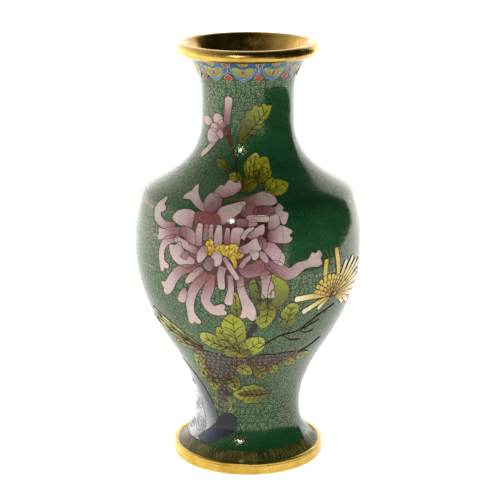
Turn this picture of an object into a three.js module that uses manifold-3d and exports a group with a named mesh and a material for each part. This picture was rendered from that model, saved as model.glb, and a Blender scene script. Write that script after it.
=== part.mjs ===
// Cloisonne vase: spun copper sections, cast brass lip and foot, turquoise lining,
// and an outer enamel skin of green ground with wired flowers, leaves, branches and rock.
// Millimetres, +Z up, origin at the centre of the foot's underside. The main flower faces -Y.
import * as THREE from "three";
import { mergeVertices } from "three/addons/utils/BufferGeometryUtils.js";
import Module from "manifold-3d";

const wasm = await Module();
wasm.setup();

// Overall shape of the outside of the enamel.
const height = 250; // foot's underside to the top of the lip
const neckHeight = 209; // narrowest place of the neck
const neckRadius = 27.2;
const hollowHeight = 174; // steepest place of the shoulder
const hollowRadius = 45.5;
const shoulderHeight = 162.5; // where the shoulder turns in
const shoulderRadius = 61.4;
const bellyHeight = 130; // widest place
const bellyRadius = 66.8;
const flankHeight = 72; // middle of the lower taper
const flankRadius = 47;
const waistHeight = 30; // narrowest place above the foot
const waistRadius = 31.1;
const skirtRadius = 42.9; // where the enamel meets the foot ring
const throatRadius = 35; // where the enamel meets the lip

// How steeply the outside runs at those places, radius over height.
const throatSlope = 0.8;
const hollowSlope = -1.5;
const shoulderSlope = -0.5;
const flankSlope = 0.65;
const skirtSlope = -1.43;

// Layers of the wall.
const enamelThickness = 0.8;
const copperThickness = 1;
const liningThickness = 0.5;
const lapLength = 3; // how far each copper section reaches up inside the next
const pieceGap = 0.3; // between an inlay, its wire and the ground
const wireThickness = 0.4;

// Joints between the copper sections.
const footSeamHeight = 38;
const flankSeamHeight = 92;
const bellySeamHeight = 150;
const neckSeamHeight = 193;

// Lip.
const rollDiameter = 7.2;
const seatInset = 0.4; // how far the edge of the neck stands up past the bottom of the roll
const lipOverhang = 1.15; // flat underside of the lip outside the enamel
const collarThickness = 0.8;
const collarLength = 15; // how far the lip's collar goes down the throat

// Foot and base.
const footRadius = 45;
const footHeight = 7;
const footSeatHeight = 1.5; // shelf in the foot ring that carries the copper
const footEdge = 0.4; // chamfers of the foot ring
const baseThickness = 1.2;
const baseDrop = 0.1; // base plate's top below the top of the foot ring
const baseEnamelThickness = 0.6;

// Borders.
const footBorderHeight = 12; // top of the grass border
const lappetCount = 11;
const lappetTipHeight = 231.5; // lowest point of the neck border
const lappetNotchHeight = 236.5; // highest point of the ground between two lappets
const lappetAzimuth = -5; // where one lappet is centred, degrees from the front

const segments = 24; // round the axis
const degree = Math.PI / 180;
const rollRadius = rollDiameter / 2;
const lipSeatHeight = height - rollDiameter + seatInset;
const seatHalfWidth = Math.sqrt(seatInset * (rollDiameter - seatInset)); // roll's half width there
const rollCentreRadius = throatRadius + lipOverhang + seatHalfWidth;
const lipRadius = rollCentreRadius + rollRadius;

// The outside radius at a height: cubic stretches between the stations, with the slopes above.
const stations = [
  { z: footHeight, r: skirtRadius, slope: skirtSlope },
  { z: waistHeight, r: waistRadius, slope: 0 },
  { z: flankHeight, r: flankRadius, slope: flankSlope },
  { z: bellyHeight, r: bellyRadius, slope: 0 },
  { z: shoulderHeight, r: shoulderRadius, slope: shoulderSlope },
  { z: hollowHeight, r: hollowRadius, slope: hollowSlope },
  { z: neckHeight, r: neckRadius, slope: 0 },
  { z: lipSeatHeight, r: throatRadius, slope: throatSlope },
];

function outside(z) {
  let k = 0;
  while (k < stations.length - 2 && z > stations[k + 1].z) k += 1;
  const a = stations[k];
  const b = stations[k + 1];
  const span = b.z - a.z;
  const t = (z - a.z) / span;
  const rise = t * t * (3 - 2 * t);
  const radius = a.r * (1 - rise) + b.r * rise +
    span * (a.slope * t * (1 - t) ** 2 - b.slope * t * t * (1 - t));
  const slope = ((b.r - a.r) * 6 * t * (1 - t)) / span +
    a.slope * (1 - t) * (1 - 3 * t) + b.slope * t * (3 * t - 2);
  return { radius, slope };
}

// The radius of the surface that lies a depth below the outside, measured square to it.
function radiusAt(z, depth) {
  const { radius, slope } = outside(z);
  return radius - depth * Math.hypot(1, slope);
}

// Heights of the rings of vertices that every layer of the wall shares.
const turnStep = 13 * degree; // the outside turns this much between two rings
const mostRise = 16; // and they are no further apart than this
const leastRise = 3;
const seams = [footSeamHeight, flankSeamHeight, bellySeamHeight, neckSeamHeight];
const collarBottom = lipSeatHeight - collarLength;
const fixedRings = [
  footHeight,
  footBorderHeight,
  footBorderHeight + pieceGap,
  collarBottom - pieceGap,
  collarBottom,
  lipSeatHeight,
  ...seams,
  ...seams.map((z) => z + lapLength),
].sort((a, b) => a - b);

function ringHeights() {
  const heights = [fixedRings[0]];
  for (let i = 1; i < fixedRings.length; i += 1) {
    const low = fixedRings[i - 1];
    const high = fixedRings[i];
    const fine = 0.5;
    let turning = 0;
    let before = Math.atan(outside(low).slope);
    for (let z = low + fine; z < high - leastRise; z += fine) {
      const now = Math.atan(outside(z).slope);
      turning += Math.abs(now - before);
      before = now;
      const risen = z - heights[heights.length - 1];
      if ((turning > turnStep && risen > leastRise) || risen > mostRise) {
        heights.push(z);
        turning = 0;
      }
    }
    heights.push(high);
  }
  return heights;
}

const rings = ringHeights();

// Points of one surface of the wall, from low to high.
function wallLine(depth, low, high) {
  return rings
    .filter((z) => z >= low && z <= high)
    .map((z) => new THREE.Vector2(radiusAt(z, depth), z));
}

function point(radius, z) {
  return new THREE.Vector2(radius, z);
}

function arc(centreRadius, centreZ, radius, start, end, steps) {
  return Array.from({ length: steps + 1 }, (_, i) => {
    const angle = (start + ((end - start) * i) / steps) * degree;
    return point(centreRadius + radius * Math.cos(angle), centreZ + radius * Math.sin(angle));
  });
}

// A profile turned round the axis. It runs up the outside and down the inside.
function turned(profile, closed = true) {
  const line = closed ? [...profile, profile[0].clone()] : profile;
  return new THREE.LatheGeometry(line, segments).rotateX(Math.PI / 2);
}

function solidOf(geometry) {
  const bare = geometry.clone();
  bare.deleteAttribute("normal");
  bare.deleteAttribute("uv");
  const merged = mergeVertices(bare, 1e-4);
  return new wasm.Manifold(
    new wasm.Mesh({
      numProp: 3,
      vertProperties: new Float32Array(merged.attributes.position.array),
      triVerts: new Uint32Array(merged.index.array),
    }),
  );
}

function geometryOf(solid) {
  const mesh = solid.getMesh();
  const geometry = new THREE.BufferGeometry();
  geometry.setAttribute("position", new THREE.BufferAttribute(mesh.vertProperties, mesh.numProp));
  geometry.setIndex(new THREE.BufferAttribute(mesh.triVerts, 1));
  geometry.computeVertexNormals();
  return geometry;
}

// Materials.
const finishes = {
  brass: { color: 0xc99b3a, roughness: 0.25, metalness: 1 },
  copper: { color: 0xb4694a, roughness: 0.4, metalness: 1 },
  wire: { color: 0xc2a35c, roughness: 0.35, metalness: 1 },
  turquoise: { color: 0x3f9a9c, roughness: 0.3, metalness: 0 },
  green: { color: 0x1e4b2d, roughness: 0.12, metalness: 0 },
  blue: { color: 0x4a7396, roughness: 0.12, metalness: 0 },
  olive: { color: 0x6c6a2c, roughness: 0.15, metalness: 0 },
  pink: { color: 0xb9929c, roughness: 0.12, metalness: 0 },
  yellow: { color: 0xd9bd3c, roughness: 0.12, metalness: 0 },
  leaf: { color: 0x87902a, roughness: 0.12, metalness: 0 },
  bark: { color: 0x3a2620, roughness: 0.15, metalness: 0 },
  rock: { color: 0x9a9aa0, roughness: 0.12, metalness: 0 },
};

const vase = new THREE.Group();
vase.name = "cloisonne_vase";

function add(name, geometry, finish) {
  const mesh = new THREE.Mesh(geometry, new THREE.MeshStandardMaterial(finishes[finish]));
  mesh.name = name;
  vase.add(mesh);
}

// Copper: each section's inner half laps up inside the section above.
const copperOuter = enamelThickness;
const copperMiddle = enamelThickness + copperThickness / 2;
const copperInner = enamelThickness + copperThickness;
const tubeOuter = radiusAt(footHeight, copperOuter);
const tubeInner = tubeOuter - copperThickness;

function lowerJoint(seam) {
  return [
    ...wallLine(copperInner, seam + lapLength, seam + lapLength),
    ...wallLine(copperMiddle, seam, seam + lapLength).reverse(),
  ];
}

function upperJoint(seam) {
  return [
    ...wallLine(copperMiddle, seam, seam + lapLength),
    ...wallLine(copperInner, seam + lapLength, seam + lapLength),
  ];
}

// The inside runs from the lap above down to just over the lap below.
function insideLine(low, high) {
  return wallLine(copperInner, low, high).slice(1, -1).reverse();
}

function copperSection(lowSeam, highSeam) {
  return turned([
    ...wallLine(copperOuter, lowSeam, highSeam),
    ...upperJoint(highSeam),
    ...insideLine(lowSeam + lapLength, highSeam + lapLength),
    ...lowerJoint(lowSeam),
  ]);
}

function copperFoot() {
  return turned([
    point(tubeInner, footSeatHeight),
    point(tubeOuter, footSeatHeight),
    ...wallLine(copperOuter, footHeight, footSeamHeight),
    ...upperJoint(footSeamHeight),
    ...insideLine(footHeight, footSeamHeight + lapLength),
    point(tubeInner, footHeight),
  ]);
}

function copperNeck() {
  return turned([
    ...wallLine(copperOuter, neckSeamHeight, lipSeatHeight),
    ...wallLine(copperInner, neckSeamHeight + lapLength, lipSeatHeight).reverse(),
    ...wallLine(copperMiddle, neckSeamHeight, neckSeamHeight + lapLength).reverse(),
  ]);
}

add("copper_foot", copperFoot(), "copper");
add("copper_flank", copperSection(footSeamHeight, flankSeamHeight), "copper");
add("copper_belly", copperSection(flankSeamHeight, bellySeamHeight), "copper");
add("copper_shoulder", copperSection(bellySeamHeight, neckSeamHeight), "copper");
add("copper_neck", copperNeck(), "copper");

// Lip: a rolled brass rim with a collar that lines the throat.
const rollCentreHeight = height - rollRadius;
const collarInner = copperInner + collarThickness;

function lipRing() {
  const seatAngle = -90 - Math.asin(seatHalfWidth / rollRadius) / degree;
  const inside = wallLine(collarInner, collarBottom, lipSeatHeight).reverse();
  const rollInner = point(rollCentreRadius - rollRadius, rollCentreHeight);
  const flare = point((inside[0].x + rollInner.x) / 2 - 0.3, (inside[0].y + rollInner.y) / 2);
  return turned([
    ...wallLine(copperInner, collarBottom, lipSeatHeight),
    ...arc(rollCentreRadius, rollCentreHeight, rollRadius, seatAngle, 180, 13),
    flare,
    ...inside,
  ]);
}

add("lip_ring", lipRing(), "brass");

// Foot ring: a brass band with a shelf under the copper and a ledge outside the enamel.
function footRing() {
  return turned([
    point(tubeInner + footEdge, 0),
    point(footRadius - footEdge, 0),
    point(footRadius, footEdge),
    point(footRadius, footHeight - footEdge),
    point(footRadius - footEdge, footHeight),
    point(tubeOuter, footHeight),
    point(tubeOuter, footSeatHeight),
    point(tubeInner, footSeatHeight),
    point(tubeInner, footEdge),
  ]);
}

add("foot_ring", footRing(), "brass");

// Base plate inside the copper's skirt, enamelled underneath.
const baseTop = footHeight - baseDrop;
const baseBottom = baseTop - baseThickness;

function disc(radius, bottom, top) {
  return turned([point(0, bottom), point(radius, bottom), point(radius, top), point(0, top)], false);
}

add("base_plate", disc(tubeInner, baseBottom, baseTop), "copper");
add("base_enamel", disc(tubeInner - pieceGap, baseBottom - baseEnamelThickness, baseBottom), "turquoise");

// Lining of the inside, over the base plate and up to the lip's collar.
function lining() {
  const inner = copperInner + liningThickness;
  const top = collarBottom - pieceGap;
  const floorHeight = baseTop + liningThickness;
  const wall = wallLine(copperInner, footHeight, top).slice(1);
  const face = wallLine(inner, footHeight, top).slice(1).reverse();
  return turned(
    [
      point(0, baseTop),
      point(tubeInner, baseTop),
      point(tubeInner, footHeight),
      ...wall,
      ...face,
      point(tubeInner - liningThickness, floorHeight),
      point(0, floorHeight),
    ],
    false,
  );
}

add("lining", lining(), "turquoise");

// Enamel skin: the ground is cut away for each inlay and the wire round it.
function skin(low, high) {
  return turned([...wallLine(0, low, high), ...wallLine(enamelThickness, low, high).reverse()]);
}

const cutterStart = 2; // cutters run straight outwards from just in front of the axis
const cutterLength = 110;

// The outline of [azimuth, height] points, flattened square to the middle of its azimuths.
function flatten(outline) {
  const azimuths = outline.map(([azimuth]) => azimuth);
  const facing = (Math.min(...azimuths) + Math.max(...azimuths)) / 2;
  const flat = outline.map(([azimuth, z]) => {
    const across = outside(z).radius * Math.sin((azimuth - facing) * degree);
    return new THREE.Vector2(across, z);
  });
  return { flat, facing };
}

// A flat outline with every edge moved outwards by a distance.
function grown(flat, distance) {
  const side = THREE.ShapeUtils.isClockWise(flat) ? -1 : 1;
  return flat.map((here, i) => {
    const before = flat[(i + flat.length - 1) % flat.length];
    const after = flat[(i + 1) % flat.length];
    const first = here.clone().sub(before).normalize();
    const second = after.clone().sub(here).normalize();
    const mean = first.clone().add(second).normalize();
    const shift = (side * distance) / Math.max(0.6, mean.dot(first));
    return point(here.x + mean.y * shift, here.y - mean.x * shift);
  });
}

// The straight cutter over an outline, grown by a distance.
function cutter(outline, distance = 0) {
  const { flat, facing } = flatten(outline);
  const shape = new THREE.Shape(grown(flat, distance));
  const geometry = new THREE.ExtrudeGeometry(shape, { depth: cutterLength, bevelEnabled: false });
  geometry.translate(0, 0, cutterStart);
  geometry.rotateX(Math.PI / 2);
  geometry.rotateZ(facing * degree);
  return solidOf(geometry);
}

// A petal or leaf: widest part way along from root to tip, both given as [azimuth, height].
function blade(root, tip, width, around) {
  const perDegree = outside((root[1] + tip[1]) / 2).radius * degree;
  const along = new THREE.Vector2((tip[0] - root[0]) * perDegree, tip[1] - root[1]);
  const across = new THREE.Vector2(-along.y, along.x).normalize();
  const side = (sign) => around.map(([share, part]) => [
    root[0] + (along.x * share + sign * across.x * part * width) / perDegree,
    root[1] + along.y * share + sign * across.y * part * width,
  ]);
  return [root, ...side(-1), tip, ...side(1).reverse()];
}

const leafSides = [[0.2, 0.36], [0.45, 0.5], [0.75, 0.38]];

// Outlines of the picture, [azimuth, height]: azimuth in degrees to the right of the front.
const flowerOutline = [
  [-13, 177], [-6, 175], [-3, 170], [9, 172], [16, 169], [20, 163], [21, 150], [15, 144],
  [17, 136], [27, 136], [35, 140], [38, 135], [30, 130], [19, 125], [12, 122], [10, 114],
  [6, 116], [3, 118], [5, 107], [-1, 101], [-4, 110], [-7, 122], [-14, 122], [-13, 107],
  [-20, 103.5], [-25, 118], [-25, 98], [-33, 97], [-32, 122], [-46, 113], [-47, 119], [-38, 128],
  [-47, 128], [-49, 148], [-43, 152], [-57, 159], [-52, 164], [-42, 156], [-34, 161],
  [-41, 170], [-38, 172], [-27, 165], [-23, 171],
];
const heartOutline = [[-20, 146], [-16, 148], [-13, 144.5], [-8, 146], [-3, 142], [-5, 137], [-11, 141], [-18, 141]];
const budOutline = [
  [-24, 203], [-20, 211], [-19, 220], [-24, 223.5], [-29, 219], [-31, 212.5], [-44, 212], [-55, 208.5],
  [-70, 204], [-58, 203], [-55, 196], [-44, 195], [-57, 188], [-50, 185.5], [-45, 190], [-36, 196], [-28, 198.5],
];
const neckLeafOutline = [
  [-6, 196.5], [-1, 200], [9, 201], [17, 205], [25, 211], [29, 217], [20, 218], [9, 217.5], [-2, 214], [-10, 208], [-9, 202],
];
const upperLeafOutline = blade([3, 177], [12, 191.5], 13, leafSides);
const shoulderLeafOutline = blade([17, 171.5], [30, 175.5], 7, leafSides);
const sideLeafOutline = blade([-18, 182.5], [-32, 186], 5, leafSides);
const flankLeafOutline = [[12, 124], [18, 123.5], [20, 117], [18, 109], [12, 97.5], [7, 98], [7, 104], [9, 111], [10, 118]];
const smallLeafOutline = blade([17, 109], [21.5, 94], 6, leafSides);
const crownLeavesOutline = [
  [-14, 101], [-8, 104.5], [-3, 99], [-2, 91], [2, 90], [8, 89], [9, 83], [4, 77.5], [-8, 76], [-17, 76.5],
  [-24, 80], [-28, 86], [-26, 90], [-19, 90], [-15, 92],
];
const paleLeavesOutline = [
  [-72, 91], [-58, 94], [-46, 92], [-36, 88], [-31, 80.5], [-34, 75], [-40, 66], [-44, 72], [-46, 79], [-58, 84],
];
const leftRootOutline = [[-31, 75.5], [-24, 76.5], [-14, 74], [-3, 73.5], [-8, 66.5], [-12, 62], [-22, 58.5], [-38, 57.5], [-35, 66]];
const rightRootOutline = [[1, 75], [8, 76.5], [20, 75.5], [34, 71], [24, 69], [14, 65.5], [7, 66], [2, 70]];
const lowLeavesOutline = [[-41, 56], [-31, 56.5], [-22, 57], [-10, 60], [-10, 54], [-19, 50], [-28, 54], [-36, 52.5]];
const waistLeafOutline = [[-14, 47], [-6, 52.5], [1, 54], [11, 52], [19, 48], [23, 43], [17, 40.5], [1, 40.5], [-8, 43]];
const trunkOutline = [[-34, 51], [-28, 52.5], [-26, 46], [-28, 38], [-36, 38], [-37, 45]];
const rockOutline = [
  [-78, 32], [-62, 37], [-44, 35], [-33, 31], [-20, 32], [-13, 30], [-13, 25], [-20, 20], [-36, 15.5], [-52, 13.5], [-76, 13.5],
];
const yellowFlowerOutline = [
  [25, 115], [32, 116.5], [36, 120], [40, 121.5], [39, 131], [43, 132], [45, 122], [47.5, 123], [47, 135],
  [50, 137], [52, 133], [53, 122.5], [60, 122], [67, 121], [79, 115], [79, 107.5], [62, 106], [48, 107.5],
  [35, 103.5], [31, 106], [40, 110.5], [32, 112],
];
const backBranchOutline = [
  [150, 66], [156, 64.5], [168, 86], [186, 104], [205, 116], [207, 120], [198, 116.5], [181, 107.5], [161, 88],
];
const backFlowerOutline = [
  [215, 116], [224, 119], [229, 127], [229, 138], [224, 146], [215, 150], [206, 147], [201, 139], [201, 130], [206, 122],
];
const backHeartOutline = [[212, 130], [218, 130], [220, 134], [217, 138], [212, 138], [209, 134]];
const backLeafOutline = blade([182, 113], [172, 136], 16, leafSides);
const backLowLeafOutline = blade([180, 96], [200, 86], 14, leafSides);
const backBudOutline = blade([160, 94], [148, 112], 12, leafSides);

// The picture's pieces. Each is cut back from the pieces before it.
const inlays = [
  { name: "flower_heart", outline: heartOutline, finish: "yellow" },
  { name: "pink_flower", outline: flowerOutline, finish: "pink", wired: true },
  { name: "bud", outline: budOutline, finish: "pink", wired: true },
  { name: "neck_leaf", outline: neckLeafOutline, finish: "leaf", wired: true },
  { name: "upper_leaf", outline: upperLeafOutline, finish: "leaf" },
  { name: "shoulder_leaf", outline: shoulderLeafOutline, finish: "leaf" },
  { name: "side_leaf", outline: sideLeafOutline, finish: "leaf" },
  { name: "flank_leaf", outline: flankLeafOutline, finish: "leaf" },
  { name: "small_leaf", outline: smallLeafOutline, finish: "leaf" },
  { name: "crown_leaves", outline: crownLeavesOutline, finish: "leaf" },
  { name: "pale_leaves", outline: paleLeavesOutline, finish: "leaf" },
  { name: "left_root", outline: leftRootOutline, finish: "bark" },
  { name: "right_root", outline: rightRootOutline, finish: "bark" },
  { name: "low_leaves", outline: lowLeavesOutline, finish: "leaf" },
  { name: "waist_leaf", outline: waistLeafOutline, finish: "leaf", wired: true },
  { name: "trunk", outline: trunkOutline, finish: "bark" },
  { name: "rock", outline: rockOutline, finish: "rock" },
  { name: "yellow_flower", outline: yellowFlowerOutline, finish: "yellow", wired: true },
  { name: "back_heart", outline: backHeartOutline, finish: "yellow" },
  { name: "back_flower", outline: backFlowerOutline, finish: "pink" },
  { name: "back_branch", outline: backBranchOutline, finish: "bark" },
  { name: "back_leaf", outline: backLeafOutline, finish: "leaf" },
  { name: "back_low_leaf", outline: backLowLeafOutline, finish: "leaf" },
  { name: "back_bud", outline: backBudOutline, finish: "pink" },
];

const wireRoom = wireThickness + 2 * pieceGap; // from an inlay to the ground round its wire

// The neck border's zone: a band whose lower edge rises to a notch between each two lappets.
function borderZone(margin) {
  const low = lappetTipHeight - margin;
  const notch = lappetNotchHeight - margin;
  const pitch = 360 / lappetCount;
  const over = 5; // the zone stands clear above the skin it divides
  let zone = solidOf(
    turned([
      point(cutterStart, low),
      point(lipRadius, low),
      point(lipRadius, lipSeatHeight + over),
      point(cutterStart, lipSeatHeight + over),
    ]),
  );
  for (let i = 0; i < lappetCount; i += 1) {
    const middle = lappetAzimuth + (i + 0.5) * pitch;
    const half = pitch * 0.36;
    const outline = [
      [middle - half, low - over], [middle + half, low - over], [middle + half, low],
      [middle + half * 0.45, notch], [middle - half * 0.45, notch], [middle - half, low],
    ];
    zone = zone.subtract(cutter(outline));
  }
  return zone;
}

const wholeSkin = solidOf(skin(footBorderHeight + pieceGap, lipSeatHeight));
let ground = wholeSkin.subtract(borderZone(pieceGap));
const placed = [];

for (const inlay of inlays) {
  let body = wholeSkin.intersect(cutter(inlay.outline));
  let ring = null;
  if (inlay.wired) {
    ring = wholeSkin
      .intersect(cutter(inlay.outline, pieceGap + wireThickness))
      .subtract(cutter(inlay.outline, pieceGap));
  }
  for (const other of placed) {
    body = body.subtract(other);
    if (ring) ring = ring.subtract(other);
  }
  const room = cutter(inlay.outline, inlay.wired ? wireRoom : pieceGap);
  placed.push(room);
  ground = ground.subtract(room);
  add(inlay.name, geometryOf(body), inlay.finish);
  if (ring) add(inlay.name + "_wire", geometryOf(ring), "wire");
}

add("ground_enamel", geometryOf(ground), "green");
add("neck_border", geometryOf(wholeSkin.intersect(borderZone(0))), "blue");
add("foot_border", skin(footHeight, footBorderHeight), "olive");

export default vase;
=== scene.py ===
# Cloisonne vase: brass lip and foot, green enamel ground with gilt wire curls,
# and flowers, leaves, roots and rock laid in wired enamel. Sizes are in millimetres
# unless a name says otherwise; azimuths are degrees to the right of the front (-Y).
import math
import random

import bpy
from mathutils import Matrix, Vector


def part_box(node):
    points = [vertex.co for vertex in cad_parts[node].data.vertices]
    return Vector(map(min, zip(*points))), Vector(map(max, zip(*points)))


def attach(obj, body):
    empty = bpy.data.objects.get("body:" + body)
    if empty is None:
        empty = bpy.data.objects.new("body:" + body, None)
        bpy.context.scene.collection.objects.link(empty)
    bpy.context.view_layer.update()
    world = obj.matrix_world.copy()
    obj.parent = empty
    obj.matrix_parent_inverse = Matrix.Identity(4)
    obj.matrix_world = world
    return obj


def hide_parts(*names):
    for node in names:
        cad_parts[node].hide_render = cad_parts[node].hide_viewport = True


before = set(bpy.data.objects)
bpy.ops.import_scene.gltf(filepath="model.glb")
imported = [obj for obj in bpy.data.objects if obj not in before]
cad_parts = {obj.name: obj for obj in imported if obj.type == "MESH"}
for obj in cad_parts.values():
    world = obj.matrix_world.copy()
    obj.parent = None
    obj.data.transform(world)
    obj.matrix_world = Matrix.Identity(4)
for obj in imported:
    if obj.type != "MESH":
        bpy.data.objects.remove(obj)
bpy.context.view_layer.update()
mm = 0.001
random.seed(11)

# the outside of the enamel: height, radius and slope (radius over height) at each place
vaseShape = {
    "stations": [
        (7, 42.9, -1.43),  # foot ring
        (30, 31.1, 0),  # waist
        (72, 47, 0.65),  # flank
        (130, 66.8, 0),  # belly
        (162.5, 61.4, -0.5),  # shoulder
        (174, 45.5, -1.5),  # hollow of the shoulder
        (209, 27.2, 0),  # neck
        (243.2, 35, 0.8),  # lip
    ],
    "enamelDepth": 0.8,
    "wallDepth": 1.8,  # enamel and copper
    "steps": 216,  # round the axis
    "edgeAngle": 35,  # degrees past which an edge stays sharp
}
# what the frame's own pieces measure
footTop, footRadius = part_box("foot_ring")[1].z / mm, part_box("foot_ring")[1].x / mm
lipTop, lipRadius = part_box("lip_ring")[1].z / mm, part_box("lip_ring")[1].x / mm
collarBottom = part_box("lip_ring")[0].z / mm
seatHeight = vaseShape["stations"][-1][0]
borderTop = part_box("foot_border")[1].z / mm


def wallAt(height):
    # the wall's radius and slope at a height, on a smooth curve through the stations
    stations = vaseShape["stations"]
    k = 0
    while k < len(stations) - 2 and height > stations[k + 1][0]:
        k += 1
    (z0, r0, s0), (z1, r1, s1) = stations[k], stations[k + 1]
    span = z1 - z0
    t = (height - z0) / span
    rise = t * t * (3 - 2 * t)
    bow = span * (s0 * t * (1 - t) ** 2 - s1 * t * t * (1 - t))
    radius = r0 * (1 - rise) + r1 * rise + bow
    slope = (r1 - r0) / span * 6 * t * (1 - t)
    slope += s0 * (1 - t) * (1 - 3 * t) + s1 * t * (3 * t - 2)
    return radius, slope


def widthPerDegree(height):
    # millimetres round the wall for one degree
    return math.radians(wallAt(height)[0])


def onWall(azimuth, height, lift=0.0):
    # a place on the wall, lifted along its normal
    radius, slope = wallAt(height)
    steep = math.hypot(1, slope)
    turn = math.radians(azimuth)
    out = radius + lift / steep
    return Vector((out * math.sin(turn), -out * math.cos(turn), height - lift * slope / steep)) * mm


def tint(red, green, blue):
    # a colour given as 0 to 255, in the linear values that shaders take
    share = [c / 255 for c in (red, green, blue)]
    return tuple(((c + 0.055) / 1.055) ** 2.4 if c > 0.04 else c / 12.92 for c in share) + (1.0,)


def deselectAll():
    if bpy.context.mode != "OBJECT":
        bpy.ops.object.mode_set(mode="OBJECT")
    bpy.ops.object.select_all(action="DESELECT")


def selectOnly(pieces):
    deselectAll()
    for piece in pieces:
        piece.select_set(True)
    bpy.context.view_layer.objects.active = pieces[0]


def finishPiece(piece, name, material, nodes=()):
    piece.name = name
    piece.data.name = name
    piece.data.materials.clear()
    piece.data.materials.append(material)
    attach(piece, "root")
    if nodes:
        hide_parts(*nodes)
    print("made", name, len(piece.data.polygons), "faces")
    return piece


# materials: noise on Object coordinates, the tiles' own paint, and plain metal for the wires
def newMaterial(name):
    material = bpy.data.materials.new(name)
    material.use_nodes = True
    tree = material.node_tree
    return material, tree, tree.nodes["Principled BSDF"]


def noiseOn(tree, vector, scale, detail=3.0, roughness=0.5):
    noise = tree.nodes.new("ShaderNodeTexNoise")
    noise.inputs["Scale"].default_value = scale
    noise.inputs["Detail"].default_value = detail
    noise.inputs["Roughness"].default_value = roughness
    tree.links.new(vector, noise.inputs["Vector"])
    return noise.outputs["Fac"]


def rampOn(tree, factor, stops):
    ramp = tree.nodes.new("ShaderNodeValToRGB")
    while len(ramp.color_ramp.elements) < len(stops):
        ramp.color_ramp.elements.new(0.5)
    for element, (place, colour) in zip(ramp.color_ramp.elements, stops):
        element.position = place
        element.color = colour
    tree.links.new(factor, ramp.inputs["Fac"])
    return ramp.outputs["Color"]


def mixOn(tree, factor, first, second, blend="MIX"):
    mix = tree.nodes.new("ShaderNodeMix")
    mix.data_type = "RGBA"
    mix.blend_type = blend
    for socket, value in ((0, factor), (6, first), (7, second)):
        if isinstance(value, (int, float, tuple)):
            mix.inputs[socket].default_value = value
        else:
            tree.links.new(value, mix.inputs[socket])
    return mix.outputs[2]


def rangeOn(tree, value, low, high, newLow, newHigh):
    node = tree.nodes.new("ShaderNodeMapRange")
    for name, number in (("From Min", low), ("From Max", high), ("To Min", newLow), ("To Max", newHigh)):
        node.inputs[name].default_value = number
    tree.links.new(value, node.inputs["Value"])
    return node.outputs["Result"]


def mathOn(tree, operation, first, second=0.0):
    node = tree.nodes.new("ShaderNodeMath")
    node.operation = operation
    for socket, value in zip(node.inputs, (first, second)):
        if isinstance(value, (int, float)):
            socket.default_value = value
        else:
            tree.links.new(value, socket)
    return node.outputs[0]


def bumpOn(tree, shader, height, strength, distance):
    bump = tree.nodes.new("ShaderNodeBump")
    bump.inputs["Strength"].default_value = strength
    bump.inputs["Distance"].default_value = distance
    tree.links.new(height, bump.inputs["Height"])
    tree.links.new(bump.outputs["Normal"], shader.inputs["Normal"])


def objectPlace(tree):
    return tree.nodes.new("ShaderNodeTexCoord").outputs["Object"]


def grey(value):
    return (value, value, value, 1.0)


glassLook = {"ior": 1.42, "polished": 0.7, "dulled": 1.6, "peelDepth": 0.0002}


def glossOn(tree, shader, place, gloss, scale):
    # polish that varies a little over the glass
    low, high = gloss * glassLook["polished"], gloss * glassLook["dulled"]
    cloud = noiseOn(tree, place, scale)
    tree.links.new(rangeOn(tree, cloud, 0.3, 0.7, low, high), shader.inputs["Roughness"])
    shader.inputs["IOR"].default_value = glassLook["ior"]


def enamelMaterial(name, low, high, grain=900, cloud=45, gloss=0.09):
    # opaque glass: clouded colour, fine grains, a few pits and a slight orange peel
    material, tree, shader = newMaterial(name)
    place = objectPlace(tree)
    clouded = rampOn(tree, noiseOn(tree, place, cloud, 4), [(0.3, low), (0.7, high)])
    grains = rampOn(tree, noiseOn(tree, place, grain, 2, 0.7), [(0.3, grey(0.62)), (0.75, grey(1.0))])
    coloured = mixOn(tree, 0.7, clouded, grains, "MULTIPLY")
    pits = tree.nodes.new("ShaderNodeTexVoronoi")
    pits.inputs["Scale"].default_value = 260
    tree.links.new(place, pits.inputs["Vector"])
    pitShade = rampOn(tree, pits.outputs["Distance"], [(0.03, grey(0.35)), (0.07, grey(1.0))])
    coloured = mixOn(tree, 0.6, coloured, pitShade, "MULTIPLY")
    tree.links.new(coloured, shader.inputs["Base Color"])
    glossOn(tree, shader, place, gloss, 60)
    bumpOn(tree, shader, noiseOn(tree, place, 170, 2), 0.12, glassLook["peelDepth"])
    return material


def paintedMaterial(name, gloss=0.1):
    # colour comes from the piece's own paint attribute, broken up by brushed grain
    material, tree, shader = newMaterial(name)
    place = objectPlace(tree)
    paint = tree.nodes.new("ShaderNodeAttribute")
    paint.attribute_name = "paint"
    grains = rampOn(tree, noiseOn(tree, place, 620, 3, 0.65), [(0.28, grey(0.7)), (0.72, grey(1.0))])
    cloud = rampOn(tree, noiseOn(tree, place, 130, 3), [(0.3, grey(0.78)), (0.65, grey(1.0))])
    coloured = mixOn(tree, 0.75, paint.outputs["Color"], grains, "MULTIPLY")
    coloured = mixOn(tree, 0.6, coloured, cloud, "MULTIPLY")
    tree.links.new(coloured, shader.inputs["Base Color"])
    glossOn(tree, shader, place, gloss, 80)
    bumpOn(tree, shader, noiseOn(tree, place, 240, 2), 0.1, glassLook["peelDepth"])
    return material


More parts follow.
